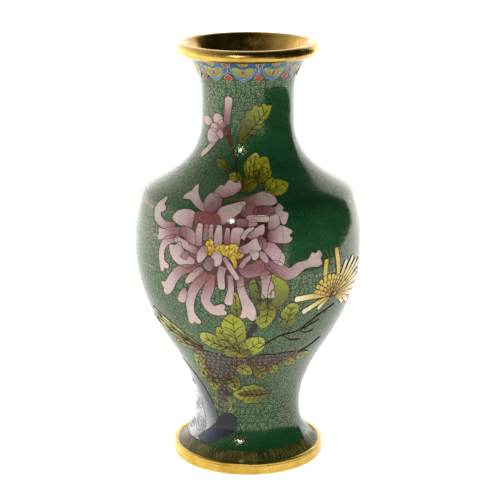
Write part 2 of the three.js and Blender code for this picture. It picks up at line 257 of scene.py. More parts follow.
def brassMaterial(name, bright, dull, gloss, pitDepth):
    material, tree, shader = newMaterial(name)
    place = objectPlace(tree)
    stain = noiseOn(tree, place, 55, 5, 0.6)
    speck = noiseOn(tree, place, 700, 3, 0.7)
    coloured = rampOn(tree, stain, [(0.32, dull), (0.6, bright)])
    coloured = mixOn(tree, 0.35, coloured, rampOn(tree, speck, [(0.35, grey(0.5)), (0.6, grey(1.0))]),
                     "MULTIPLY")
    tree.links.new(coloured, shader.inputs["Base Color"])
    shader.inputs["Metallic"].default_value = 1.0
    tree.links.new(rangeOn(tree, noiseOn(tree, place, 160, 4), 0.3, 0.7, gloss * 0.7, gloss * 1.5),
                   shader.inputs["Roughness"])
    bumpOn(tree, shader, speck, pitDepth, 0.0002)
    return material


def wireMaterial(name, colour, roughness):
    material, tree, shader = newMaterial(name)
    shader.inputs["Base Color"].default_value = colour
    shader.inputs["Metallic"].default_value = 1.0
    shader.inputs["Roughness"].default_value = roughness
    return material


greenEnamel = enamelMaterial("greenEnamel", tint(20, 62, 36), tint(34, 88, 52))
grassEnamel = enamelMaterial("grassEnamel", tint(24, 40, 24), tint(112, 106, 44), grain=420, cloud=120)
turquoise = enamelMaterial("turquoiseEnamel", tint(48, 128, 132), tint(78, 168, 168), gloss=0.22)
paintedEnamel = paintedMaterial("paintedEnamel")
lipBrass = brassMaterial("polishedBrass", tint(210, 174, 88), tint(176, 136, 60), 0.24, 0.1)
footBrass = brassMaterial("satinBrass", tint(230, 194, 94), tint(196, 154, 60), 0.3, 0.35)
copperMetal = brassMaterial("bareCopper", tint(196, 120, 84), tint(120, 66, 44), 0.4, 0.2)
giltWire = wireMaterial("giltWire", tint(206, 190, 136), 0.3)
curlWire = wireMaterial("curlWire", tint(166, 158, 108), 0.24)
outlineWire = wireMaterial("outlineWire", tint(96, 62, 54), 0.4)

for nodeName in ("copper_foot", "copper_flank", "copper_belly", "copper_shoulder", "copper_neck",
                 "base_plate"):
    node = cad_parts[nodeName]
    node.data.materials.clear()
    node.data.materials.append(copperMetal)


# pieces turned from a section
def turnProfile(name, section, steps=vaseShape["steps"]):
    # a point is drawn out along the section, and the section is spun round the axis
    deselectAll()
    bpy.ops.mesh.primitive_plane_add(size=mm, location=(0, 0, 0))
    piece = bpy.context.active_object
    bpy.ops.object.mode_set(mode="EDIT")
    bpy.ops.mesh.select_all(action="SELECT")
    bpy.ops.mesh.merge(type="CENTER")
    bpy.ops.transform.translate(value=(section[0][0] * mm, 0, section[0][1] * mm))
    line = list(section)
    if section[0][0] > 0 and section[-1][0] > 0:
        line.append(section[0])
    for before, after in zip(line, line[1:]):
        step = ((after[0] - before[0]) * mm, 0, (after[1] - before[1]) * mm)
        bpy.ops.mesh.extrude_region_move(TRANSFORM_OT_translate={"value": step})
    bpy.ops.mesh.select_all(action="SELECT")
    bpy.ops.mesh.remove_doubles(threshold=1e-6)
    bpy.ops.mesh.select_all(action="SELECT")
    bpy.ops.mesh.spin(steps=steps, angle=2 * math.pi, center=(0, 0, 0), axis=(0, 0, 1))
    bpy.ops.mesh.select_all(action="SELECT")
    bpy.ops.mesh.remove_doubles(threshold=2e-6)
    bpy.ops.mesh.select_all(action="SELECT")
    bpy.ops.mesh.normals_make_consistent(inside=False)
    bpy.ops.object.mode_set(mode="OBJECT")
    piece.name = name
    bpy.ops.object.shade_smooth_by_angle(angle=math.radians(vaseShape["edgeAngle"]))
    return piece


def wallLine(low, high, depth, step):
    count = max(1, math.ceil((high - low) / step))
    line = []
    for i in range(count + 1):
        height = low + (high - low) * i / count
        radius, slope = wallAt(height)
        line.append((radius - depth * math.hypot(1, slope), height))
    return line


def wallShell(low, high, thickness, step, innerStep):
    # section of a shell that follows the wall
    return wallLine(low, high, 0, step) + wallLine(low, high, thickness, innerStep)[::-1]


def arcLine(centreRadius, centreHeight, radius, start, end, count):
    line = []
    for i in range(count + 1):
        angle = math.radians(start + (end - start) * i / count)
        line.append((centreRadius + radius * math.cos(angle), centreHeight + radius * math.sin(angle)))
    return line


ground = {"step": 1.7, "innerStep": 8, "gap": 0.05, "grassStep": 0.8, "grassInnerStep": 3}
groundShell = turnProfile("ground", wallShell(borderTop, seatHeight, vaseShape["enamelDepth"],
                                              ground["step"], ground["innerStep"]))
finishPiece(groundShell, "green_ground", greenEnamel, ["ground_enamel"])
grassBand = turnProfile("grass", wallShell(footTop, borderTop - ground["gap"], vaseShape["enamelDepth"],
                                           ground["grassStep"], ground["grassInnerStep"]))
finishPiece(grassBand, "grass_band", grassEnamel, ["foot_border"])

# lining: an inner wall from the floor of the vase up to the lip's collar
liningLayer = {"thickness": 0.5, "gap": 0.3, "floorRise": 0.5}
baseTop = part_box("base_plate")[1].z / mm
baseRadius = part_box("base_plate")[1].x / mm
liningTop = collarBottom - liningLayer["gap"]
innerDepth = vaseShape["wallDepth"] + liningLayer["thickness"]
liningPiece = turnProfile("lining", [(0, baseTop), (baseRadius - 1, baseTop)]
                          + wallLine(footTop + 1, liningTop, vaseShape["wallDepth"], 4)
                          + wallLine(footTop + 1.5, liningTop, innerDepth, 2.5)[::-1]
                          + [(0, baseTop + liningLayer["floorRise"] + 0.4)])
finishPiece(liningPiece, "turquoise_lining", turquoise, ["lining"])

# lip: rolled rim, hollow flare inside it and a collar down the throat
lip = {"rollDiameter": 7.2, "collar": 0.8, "seatInset": 0.4, "rollEnd": 128, "rollSteps": 34,
       "flareSteps": 8, "flareBow": 0.82, "step": 1.5}
rollRadius = lip["rollDiameter"] / 2
rollCentre = (lipRadius - rollRadius, lipTop - rollRadius)
seatHalf = math.sqrt(lip["seatInset"] * (lip["rollDiameter"] - lip["seatInset"]))
seatAngle = -90 - math.degrees(math.asin(seatHalf / rollRadius))
collarInner = wallLine(collarBottom, seatHeight, vaseShape["wallDepth"] + lip["collar"],
                       lip["step"])[::-1]
throatEdge = collarInner[0]
rollTop = arcLine(*rollCentre, rollRadius, seatAngle, lip["rollEnd"], lip["rollSteps"])
flare = []  # the rolled rim runs smoothly down into the throat
for i in range(1, lip["flareSteps"]):
    share = i / lip["flareSteps"]
    flare.append((rollTop[-1][0] + (throatEdge[0] - rollTop[-1][0]) * share ** lip["flareBow"],
                  rollTop[-1][1] + (throatEdge[1] - rollTop[-1][1]) * share))
lipPiece = turnProfile("lip", wallLine(collarBottom, seatHeight, vaseShape["wallDepth"], lip["step"])
                       + rollTop + flare + collarInner)
finishPiece(lipPiece, "brass_lip", lipBrass, ["lip_ring"])

# foot ring: a heavy band with soft edges and a fine turned groove near its top
foot = {"edge": 0.8, "grooveHeight": 5.6, "grooveDepth": 0.18, "shelfHeight": 1.5, "tubeRadius": 41.3,
        "tubeInner": 40.4}
edge = foot["edge"]
footLine = [(foot["tubeInner"] + 0.4, 0)]
footLine += arcLine(footRadius - edge, edge, edge, -90, 0, 6)
footLine += [(footRadius, 2.4), (footRadius, foot["grooveHeight"] - 0.35),
             (footRadius - foot["grooveDepth"], foot["grooveHeight"] - 0.1),
             (footRadius - foot["grooveDepth"], foot["grooveHeight"] + 0.1)]
footLine += arcLine(footRadius - edge, footTop - edge, edge, 0, 90, 6)
footLine += [(foot["tubeRadius"], footTop), (foot["tubeRadius"], foot["shelfHeight"]),
             (foot["tubeInner"], foot["shelfHeight"]), (foot["tubeInner"], 0.4)]
footPiece = turnProfile("foot", footLine)
finishPiece(footPiece, "brass_foot", footBrass, ["foot_ring"])

# enamel under the base, slightly crowned, with a rounded rim
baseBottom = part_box("base_enamel")[0].z / mm
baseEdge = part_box("base_enamel")[1].x / mm
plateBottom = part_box("base_enamel")[1].z / mm
basePiece = turnProfile("base", [(0, baseBottom + 0.15), (baseEdge * 0.5, baseBottom + 0.1),
                                 (baseEdge * 0.85, baseBottom + 0.02), (baseEdge - 0.5, baseBottom + 0.02),
                                 (baseEdge, baseBottom + 0.3), (baseEdge, plateBottom), (0, plateBottom)])
finishPiece(basePiece, "base_glaze", turquoise, ["base_enamel"])


# enamel tiles let in to the wall
tiles = {
    "cellTurn": 1.5,  # degrees
    "cellRise": 2.0,
    "firstLift": 0.13,
    "layerLift": 0.014,
    "thickness": 0.12,
    "wireRadius": 0.15,
    "edgeAngle": 40,
}


def curveBetween(a, b, c, d, rounds):
    # points from b towards c on a smooth curve that also minds a and d
    spots = []
    for j in range(rounds):
        t = j / rounds
        spots.append(tuple(
            0.5 * (2 * b[k] + (c[k] - a[k]) * t + (2 * a[k] - 5 * b[k] + 4 * c[k] - d[k]) * t * t
                   + (3 * b[k] - a[k] - 3 * c[k] + d[k]) * t ** 3) for k in (0, 1)))
    return spots


def softened(outline, rounds=4):
    # a closed smooth line through the outline's points
    line = []
    for i in range(len(outline)):
        line += curveBetween(*(outline[(i + k - 1) % len(outline)] for k in range(4)), rounds)
    return line


def openLine(points, rounds=5):
    # the same through the points of a line with two ends
    line = []
    padded = [points[0]] + list(points) + [points[-1]]
    for around in zip(padded, padded[1:], padded[2:], padded[3:]):
        line += curveBetween(*around, rounds)
    return line + [tuple(points[-1])]


# ends of a band: across in shares of its half width, along in shares of its rise
noses = {
    "round": ((0.86, 0.45), (0.4, 0.8), (-0.4, 0.8), (-0.86, 0.45)),
    "forked": ((0.96, 0.35), (0.62, 1.0), (0.2, 0.75), (-0.05, 0.25), (-0.3, 0.6), (-0.66, 0.8),
               (-0.96, 0.3)),
}


def stroke(points, widths, fork=0.0):
    # outline of a band along a line; the widths are spread evenly from its root to its tip,
    # and a fork splits the tip in two lobes
    line = openLine(points, 3)
    left, right = [], []
    for i, (azimuth, height) in enumerate(line):
        before, after = line[max(0, i - 1)], line[min(len(line) - 1, i + 1)]
        perDegree = widthPerDegree(height)
        along = Vector(((after[0] - before[0]) * perDegree, after[1] - before[1])).normalized()
        place = i / (len(line) - 1) * (len(widths) - 1)
        k = min(int(place), len(widths) - 2)
        half = (widths[k] + (widths[k + 1] - widths[k]) * (place - k)) / 2
        left.append((azimuth - along.y * half / perDegree, height + along.x * half))
        right.append((azimuth + along.y * half / perDegree, height - along.x * half))
    end, before = line[-1], line[-3]
    perDegree = widthPerDegree(end[1])
    along = Vector(((end[0] - before[0]) * perDegree, end[1] - before[1])).normalized()
    half = widths[-1] / 2
    nose = noses["forked" if fork else "round"]
    rise = fork or half
    tip = [(end[0] + (along.x * rise * up - along.y * half * side) / perDegree,
            end[1] + along.y * rise * up + along.x * half * side) for side, up in nose]
    return left + tip + right[::-1]


def lobe(azimuth, height, across, up):
    # a round patch, its half widths given in degrees and in millimetres
    return [(azimuth + across * math.cos(math.radians(turn)), height + up * math.sin(math.radians(turn)))
            for turn in range(0, 360, 45)]


def ragged(outline, bite=0.32):
    # small teeth along a leaf's edge, one wire bend each
    line = softened(outline, 5)
    middle = (sum(p[0] for p in line) / len(line), sum(p[1] for p in line) / len(line))
    perDegree = widthPerDegree(middle[1])
    teeth = []
    for i, (azimuth, height) in enumerate(line):
        away = Vector(((azimuth - middle[0]) * perDegree, height - middle[1])).normalized()
        push = bite if i % 2 else -bite * 0.6
        teeth.append((azimuth + away.x * push / perDegree, height + away.y * push))
    return teeth


def blade(root, tip, width, lean=0.0):
    # a leaf or petal, widest past its middle; lean bends it to one side
    perDegree = widthPerDegree((root[1] + tip[1]) / 2)
    along = Vector(((tip[0] - root[0]) * perDegree, tip[1] - root[1]))
    across = Vector((-along.y, along.x)).normalized()
    shares = ((0.12, 0.26), (0.35, 0.46), (0.6, 0.5), (0.85, 0.3))
    outline = [root]
    for sign in (-1, 1):
        side = []
        for share, part in shares:
            bend = lean * math.sin(math.pi * share)
            spot = along * share + across * (sign * part * width + bend)
            side.append((root[0] + spot.x / perDegree, root[1] + spot.y))
        outline += side if sign < 0 else [tip] + side[::-1]
    return outline


def boxOf(outline):
    azimuths = [p[0] for p in outline]
    heights = [p[1] for p in outline]
    return min(azimuths), max(azimuths), min(heights), max(heights)


def inside(outline, azimuth, height):
    hit = False
    for (a0, h0), (a1, h1) in zip(outline, outline[1:] + outline[:1]):
        if (h0 > height) != (h1 > height) and azimuth < (a1 - a0) * (height - h0) / (h1 - h0) + a0:
            hit = not hit
    return hit


covered = []  # outlines that hide the ground's curls


def gradient(shape, azimuth, height):
    # 0 at the shape's root and 1 at its tip
    (a0, h0), (a1, h1) = shape["root"], shape["tip"]
    perDegree = widthPerDegree(height)
    da, dh = (a1 - a0) * perDegree, h1 - h0
    share = ((azimuth - a0) * perDegree * da + (height - h0) * dh) / max(1e-6, da * da + dh * dh)
    return min(1.0, max(0.0, share))


def layTiles(name, shapes, nodes, slotName, wire=outlineWire, wireRadius=tiles["wireRadius"],
             wireNodes=(), base=0):
    # enamel tiles on the wall, each with its rim wire; a tile that crosses an earlier one lies over it
    boxes, layers, parts = [], [], []
    for shape in shapes:
        line = softened(shape["outline"])
        shape["line"] = line
        covered.append(line)
        here = boxOf(line)
        layer = base
        for other, otherLayer in zip(boxes, layers):
            if here[0] < other[1] and other[0] < here[1] and here[2] < other[3] and other[2] < here[3]:
                layer = max(layer, otherLayer + 1)
        boxes.append(here)
        layers.append(layer)
    for index, (shape, layer) in enumerate(zip(shapes, layers)):
        deselectAll()
        line = shape["line"]
        bpy.ops.mesh.primitive_circle_add(vertices=len(line), radius=mm, fill_type="NGON")
        part = bpy.context.active_object
        lift = (tiles["firstLift"] + tiles["layerLift"] * layer) * mm
        area = sum(a[0] * b[1] - b[0] * a[1] for a, b in zip(line, line[1:] + line[:1]))
        order = line if (area > 0) == (part.data.polygons[0].normal.z > 0) else line[::-1]
        for vertex, (azimuth, height) in zip(part.data.vertices, order):
            vertex.co = (azimuth * mm, height * mm, lift)
        mark = part.data.attributes.new("shapeIndex", "INT", "POINT")
        for item in mark.data:
            item.value = index
        parts.append(part)
    selectOnly(parts)
    if len(parts) > 1:
        bpy.ops.object.join()
    piece = bpy.context.active_object
    bpy.ops.object.transform_apply(location=True, rotation=True, scale=True)
    bpy.ops.object.mode_set(mode="EDIT")
    bpy.ops.mesh.select_all(action="SELECT")
    bpy.ops.mesh.quads_convert_to_tris(quad_method="BEAUTY", ngon_method="BEAUTY")
    lowTurn, highTurn = min(b[0] for b in boxes), max(b[1] for b in boxes)
    lowRise, highRise = min(b[2] for b in boxes), max(b[3] for b in boxes)
    cuts = []
    turn = math.ceil(lowTurn / tiles["cellTurn"]) * tiles["cellTurn"]
    while turn < highTurn:
        cuts.append(((turn * mm, 0, 0), (1, 0, 0)))
        turn += tiles["cellTurn"]
    rise = math.ceil(lowRise / tiles["cellRise"]) * tiles["cellRise"]
    while rise < highRise:
        cuts.append(((0, rise * mm, 0), (0, 1, 0)))
        rise += tiles["cellRise"]
    for place, facing in cuts:
        bpy.ops.mesh.select_all(action="SELECT")
        bpy.ops.mesh.bisect(plane_co=place, plane_no=facing, threshold=1e-6)
    bpy.ops.object.mode_set(mode="OBJECT")
    # paint each point, then bend the flat sheet on to the wall
    mesh = piece.data
    paint = mesh.color_attributes.new("paint", "FLOAT_COLOR", "POINT")
    marks = mesh.attributes["shapeIndex"]
    for vertex in mesh.vertices:
        shape = shapes[marks.data[vertex.index].value]
        azimuth, height = vertex.co.x / mm, vertex.co.y / mm
        share = gradient(shape, azimuth, height)
        stops = shape["paints"]
        place = share * (len(stops) - 1)
        k = min(int(place), len(stops) - 2)
        blend = place - k
        colour = [stops[k][c] * (1 - blend) + stops[k + 1][c] * blend for c in range(3)]
        paint.data[vertex.index].color = colour + [1.0]
    for vertex in mesh.vertices:
        vertex.co = onWall(vertex.co.x / mm, vertex.co.y / mm, vertex.co.z / mm)
    mesh.update()
    # the rim of every tile, copied off for its wire
    selectOnly([piece])
    bpy.ops.object.mode_set(mode="EDIT")
    bpy.ops.mesh.select_mode(type="EDGE")
    bpy.ops.mesh.select_all(action="DESELECT")
    bpy.ops.mesh.select_non_manifold(extend=False, use_wire=False, use_boundary=True,
                                     use_multi_face=False, use_non_contiguous=False, use_verts=False)
    bpy.ops.mesh.duplicate()
    bpy.ops.mesh.separate(type="SELECTED")
    bpy.ops.object.mode_set(mode="OBJECT")
    rim = next(o for o in bpy.context.selected_objects if o != piece)
    selectOnly([piece])
    solid = piece.modifiers.new("thickness", "SOLIDIFY")
    solid.thickness = tiles["thickness"] * mm
    solid.offset = -1
    bpy.ops.object.modifier_apply(modifier=solid.name)
    bpy.ops.object.shade_smooth_by_angle(angle=math.radians(tiles["edgeAngle"]))
    finishPiece(piece, name, paintedEnamel, nodes)
    selectOnly([rim])
    bpy.ops.object.convert(target="CURVE")
    rim.data.bevel_depth = wireRadius * mm
    rim.data.bevel_resolution = 0
    rim.data.use_fill_caps = True
    bpy.ops.object.convert(target="MESH")
    rimPiece = bpy.context.active_object
    bpy.ops.object.shade_smooth()
    finishPiece(rimPiece, name + "_wires", wire, wireNodes)


def drawWires(name, lines, lift, radius, wire):
    # open wires laid on the wall: each line is a list of (azimuth, height)
    curve = bpy.data.curves.new(name, "CURVE")
    curve.dimensions = "3D"
    for line in lines:
        points = openLine(line, 4)
        spline = curve.splines.new("POLY")
        spline.points.add(len(points) - 1)
        for spot, (azimuth, height) in zip(spline.points, points):
            spot.co = (*onWall(azimuth, height, lift), 1)
    curve.bevel_depth = radius * mm
    curve.bevel_resolution = 0
    curve.use_fill_caps = True
    piece = bpy.data.objects.new(name, curve)
    bpy.context.scene.collection.objects.link(piece)
    selectOnly([piece])
    bpy.ops.object.convert(target="MESH")
    piece = bpy.context.active_object
    bpy.ops.object.shade_smooth()
    return finishPiece(piece, name, wire)


def shape(outline, root, tip, *paints):
    return {"outline": [tuple(p) for p in outline], "root": root, "tip": tip, "paints": paints}


# pink chrysanthemum
petalPaint = {
    "pale": tint(204, 180, 174),
    "lilac": tint(188, 158, 158),
    "mauve": tint(156, 112, 112),
    "magenta": tint(128, 70, 84),
    "rose": tint(132, 80, 72),
    "brown": tint(78, 42, 36),
    "grey": tint(140, 120, 124),
    "cream": tint(206, 186, 174),
}
pale, lilac, mauve, magenta = (petalPaint[k] for k in ("pale", "lilac", "mauve", "magenta"))
rose, brown, greyed, cream = (petalPaint[k] for k in ("rose", "brown", "grey", "cream"))
# dark enamel between the petals
petals = [
    shape([(-31, 150), (-20, 163), (-5, 169), (10, 168), (17, 155), (16, 140), (9, 128), (-6, 122),
          (-20, 124), (-30, 133)], (-8, 145), (-30, 160), brown, rose),
]
# outer petals, each from its root in the heart to its tip
petals += [
    shape(stroke([(-39, 153), (-46, 152.6), (-52, 155), (-54, 159.5), (-51, 163)],
          [4.5, 4.5, 5.5, 7, 8.5], 1.8), (-39, 154), (-55, 163), rose, lilac, pale),
    shape(stroke([(-22, 163.5), (-28, 166), (-34, 169), (-38.6, 170.6)], [2.4, 3, 3.8, 7.5], 1.8),
          (-22, 163), (-42, 171), mauve, pale, cream),
    shape([(-29, 153.5), (-33, 153.8), (-37.8, 154.6), (-41.8, 157.2), (-40, 161), (-35.7, 163),
          (-30, 163), (-27.5, 160.6), (-28.5, 157)], (-28, 153), (-38, 161), mauve, lilac, pale),
    shape(stroke([(-32, 151.4), (-40, 149.6), (-46, 147.4), (-49.4, 147)], [4.6, 6, 6, 7], 1.4),
          (-32, 151), (-50, 146), magenta, mauve, pale),
    shape(stroke([(-37, 146.6), (-43, 144.5), (-46.6, 139), (-46.8, 132), (-45, 128.4)],
          [4, 5, 4.6, 5, 8.5], 2), (-37, 147), (-46, 127), magenta, lilac, pale, cream),
    shape([(-35, 145.5), (-38, 143), (-41.5, 142.5), (-41, 137.4), (-38, 133.4), (-31.5, 130.6),
          (-27.4, 132.5), (-26.4, 136.5), (-31, 139), (-33, 142)], (-31, 144), (-38, 134), mauve, lilac,
          pale),
    shape(stroke([(-38, 146.6), (-31, 143.8), (-25, 141)], [3.5, 5, 4]), (-24, 141), (-38, 146), magenta,
          lilac, lilac),
    shape(stroke([(-26, 131.6), (-34, 129), (-39, 123.6), (-43, 117.4), (-46.4, 115.6)],
          [3.6, 6, 6.4, 7, 8.5], 1.8), (-27, 131), (-48, 115), rose, mauve, lilac, pale, cream),
    shape([(-32, 123), (-29.5, 127.5), (-24, 132.6), (-21, 130), (-26.5, 124.4), (-31, 121.5)],
          (-22, 131), (-31, 122), mauve, pale),
    shape([(-32, 119), (-35.5, 116), (-38.2, 110.2), (-34.5, 109), (-31.6, 113)], (-32, 119), (-37, 110),
          mauve, pale),
    shape(stroke([(-19.6, 129), (-26, 121), (-30, 112), (-31, 104), (-30, 98)], [5, 6, 5.6, 5.2, 9], 2.2),
          (-20, 129), (-30, 95), rose, mauve, lilac, pale, cream),
    shape(stroke([(-17.5, 129), (-19, 121), (-21.4, 113), (-18, 107.2), (-12.4, 108)],
          [4.4, 6, 6, 6, 7.5], 1.8), (-17, 129), (-14, 106), rose, mauve, lilac, pale),
    shape(stroke([(-8.5, 129), (-8.2, 121), (-9.6, 113)], [3, 3.5, 5]), (-8, 129), (-10, 112), mauve,
          lilac, pale),
    shape(stroke([(-12, 134), (-13, 129), (-12.7, 122)], [4.6, 4.4, 4]), (-12, 134), (-12.7, 122), mauve,
          lilac, pale),
    shape(stroke([(-3.6, 129), (-3.4, 122), (-1.6, 115), (0.4, 108.6), (0, 104)],
          [3.6, 4.4, 5.2, 7.6, 10.5], 2.6), (-4, 129), (0, 101), rose, lilac, pale, cream),
    shape(stroke([(8, 131.4), (9.6, 123), (9.8, 116)], [5, 7, 7.8], 1.0), (9, 131), (9.5, 114), mauve,
          lilac, pale),
    shape([(-4, 131), (-3.8, 134), (2, 136.2), (5, 138.2), (8.5, 136.6), (11, 133), (11, 130), (5, 128.6),
          (-1, 127.6)], (4, 136), (4, 129), rose, magenta, mauve),
    shape([(8, 134), (9.5, 137.4), (15, 136.8), (20, 132.5), (24, 135), (30, 136), (32.5, 139.6),
          (34.6, 138.8), (36.6, 140.2), (38.8, 137.4), (37.8, 134.8), (39, 132), (36, 130.4), (33, 131),
          (28, 130.3), (23.5, 126.3), (18, 125.4), (13, 129)], (9, 133), (37, 136), magenta, mauve, lilac,
          pale, cream),
    shape([(7, 144), (8, 147.4), (12, 147.6), (15, 144.5), (18, 139), (17, 134), (13.5, 135.5),
          (10, 140)], (8, 146), (17, 135), mauve, lilac, pale),
    shape([(9.5, 149), (13, 147.3), (19.5, 146.6), (22.2, 148.8), (20.8, 150.8), (22.6, 152.8),
          (19.6, 155.4), (16, 156.8), (13.5, 155), (10, 153.6)], (10, 150), (20, 151), magenta, lilac,
          pale),
    shape([(10, 158), (10.5, 154.2), (14, 154.6), (16.4, 157.8), (15.4, 162.4), (12, 162.6)], (10, 156),
          (15, 161), mauve, lilac, pale),
    shape([(10.6, 162.6), (11.5, 165.6), (15, 165.8), (17.4, 167.2), (19.6, 165.4), (18.8, 163.8),
          (21.4, 162.4), (20.6, 159.4), (19, 156.8), (17, 157.4), (16.2, 161), (14, 163.4)], (11, 163),
          (20, 161), mauve, lilac, pale),
    shape([(-5, 169.6), (1, 170.4), (6, 171.8), (11, 172.3), (16, 170.6), (17, 167.6), (12, 166.2),
          (5, 166), (-3, 167)], (-3, 168), (15, 170), magenta, mauve, lilac, pale),
    shape([(-22.5, 172.5), (-20, 174.8), (-17.4, 174.6), (-15.6, 177), (-11.4, 177.4), (-9.6, 176),
          (-6.6, 177), (-4.4, 174), (-7.6, 171.6), (-14, 169.6), (-21, 170)], (-12, 170), (-12, 177),
          mauve, lilac, pale),
    shape([(-26, 168), (-24.5, 171), (-20, 171), (-15.5, 169.2), (-15, 165), (-19, 161.5),
          (-23.5, 164.5)], (-17, 163), (-24, 170), magenta, mauve, lilac),
]
# inner petals round the heart
petals += [
    shape([(-18, 160), (-15.5, 165), (-10, 167), (-2, 168.4), (-1.5, 165.4), (-6, 162), (-10, 158.5),
          (-14, 156.8)], (-12, 157), (-10, 167), mauve, lilac, cream),
    shape([(-3.5, 162), (-2, 166.6), (4, 167.2), (5, 163), (2, 161.2)], (0, 161), (1, 167), magenta,
          mauve),
    shape([(3.5, 161.8), (3.5, 165.6), (9, 166.6), (13.5, 165.6), (13.4, 162)], (4, 163), (13, 164),
          magenta, magenta, mauve),
    shape([(-0.5, 159), (-0.5, 162), (5, 162.6), (10.5, 161.8), (10.4, 158.8), (5, 158.8)], (0, 160),
          (10, 160), lilac, cream),
    shape([(-28, 162), (-21, 163), (-15, 162), (-14, 156.4), (-20, 155), (-27, 155.4)], (-20, 155),
          (-20, 163), magenta, rose),
    shape([(-35.5, 149), (-34.5, 154.2), (-29, 153.4), (-25.8, 149.5), (-26, 145.6), (-29, 144.4),
          (-32, 147.5)], (-34, 147), (-27, 151), magenta, mauve, lilac),
    shape(stroke([(-24.2, 144.5), (-24.6, 150), (-24.4, 155.4)], [3.6, 4.6, 3.6]), (-24, 144), (-24, 156),
          mauve, lilac, pale),
    shape(stroke([(-20.9, 148), (-21, 152), (-21, 156)], [3, 3, 2.6]), (-21, 148), (-21, 156), greyed,
          mauve),
    shape(stroke([(-18.3, 148), (-18.4, 152), (-18.3, 156)], [3, 3.2, 2.4]), (-18, 148), (-18, 156),
          mauve, lilac),
    shape(stroke([(-14.6, 144.5), (-14.5, 150), (-14.3, 155.6)], [4.4, 5.2, 3.4]), (-14.5, 144),
          (-14.5, 156), mauve, lilac, pale),
    shape(stroke([(-9.8, 145), (-10.2, 149), (-10, 154.6)], [3, 3.6, 2.6]), (-10, 145), (-10, 155),
          magenta, mauve, lilac),
    shape([(-8.4, 146.4), (-8, 154.6), (-5, 156), (-2, 155), (-3.5, 149.6), (-4.6, 145.4)], (-6, 146),
          (-5, 156), mauve, lilac, pale),
    shape([(-5.4, 156.6), (-5.2, 160.2), (0, 160), (-0.6, 156.4)], (-3, 156), (-3, 160), magenta, mauve),
    shape([(0.4, 156), (0, 159.2), (4, 160), (4.6, 157.2)], (1, 156), (3, 160), mauve, lilac),
    shape(stroke([(-2.8, 150), (-0.6, 153.4), (2.4, 155.4)], [2.6, 3, 2.4]), (-3, 150), (3, 156), lilac,
          pale),
    shape([(-0.6, 151.6), (3, 155.2), (7.8, 157.6), (8, 153), (5, 150.6), (1.6, 149.8)], (1, 151),
          (8, 157), mauve, lilac, pale),
    shape([(-5, 144.4), (0, 147.6), (3, 150.4), (6, 149.6), (7, 146), (5.4, 143.2), (-2.4, 141.6)],
          (-3, 143), (6, 148), mauve, lilac, pale),
    shape([(4.6, 149.8), (6.4, 151.8), (9, 148.6), (8.6, 145), (6.6, 144.6)], (5, 150), (8, 145), magenta,
          mauve),
    shape([(0.4, 142), (3, 143.8), (5.2, 142.6), (5, 139.6), (2.8, 138)], (1, 142), (4, 139), lilac, pale),
    shape([(5.4, 142.8), (8, 142.4), (10, 138), (9, 136), (6, 138.8)], (6, 143), (9, 137), mauve, lilac),
    shape(stroke([(-11.5, 139.4), (-8.4, 133.4), (-5.2, 127.6)], [2.6, 3.2, 3]), (-11.5, 139.4),
          (-5, 127), mauve, lilac, pale),
    shape(stroke([(-3.6, 133.6), (-1.6, 137), (1, 140)], [2.6, 3, 2.2]), (-4, 133), (1, 141), mauve,
          lilac),
    shape([(-18, 138), (-17, 142.6), (-13.6, 142.8), (-12, 139), (-13.8, 134), (-17, 134.4)], (-15, 143),
          (-15, 134), lilac, pale),
    shape([(-25.4, 139), (-22.4, 144.8), (-19.8, 144.4), (-19.8, 139.6), (-24, 134.6)], (-21, 144),
          (-24, 135), mauve, lilac, pale),
    shape([(-33.8, 138.6), (-32, 141), (-29.6, 139), (-31.4, 135.8), (-34.4, 136.6)], (-30, 139),
          (-34, 137), mauve, greyed),
    shape([(-22, 133.6), (-19.4, 138.6), (-16.6, 137.8), (-16.4, 134), (-18.6, 130.6)], (-18, 138),
          (-20, 131), rose, greyed),
]
layTiles("pink_petals", petals, ["pink_flower"], "pink", wireNodes=["pink_flower_wire"])

# yellow heart: two curled clusters of florets and a drip
gold, amber = tint(226, 196, 40), tint(176, 128, 20)
heart = [
    shape([(-21, 144), (-20, 148.4), (-17, 148.6), (-16, 143), (-17.6, 139.6), (-20.4, 141)], (-19, 140),
          (-19, 149), amber, gold),
    shape([(-16, 143), (-13.4, 146.4), (-10, 146), (-7, 147.2), (-3.6, 145), (-1.8, 141), (-5, 138.4),
          (-11, 140)], (-9, 139), (-9, 147), amber, gold, gold),
    shape(stroke([(-7.8, 140), (-6.4, 137), (-6, 134)], [3.4, 2.8, 2]), (-8, 140), (-6, 134), gold, amber),
]
heart += [shape(stroke([(a, z), (a + 1, z + 2.6)], [1.5, 2.2]), (a, z), (a + 1, z + 3), amber,
                tint(240, 220, 90))
          for a, z in ((-19.6, 142), (-18.6, 145), (-13.6, 142.4), (-11, 142.8), (-8.6, 143.4), (-6, 142),
                       (-9, 140.4), (-4.4, 141))]
layTiles("yellow_heart", heart, ["flower_heart"], "yellow", wireRadius=0.13, base=14)

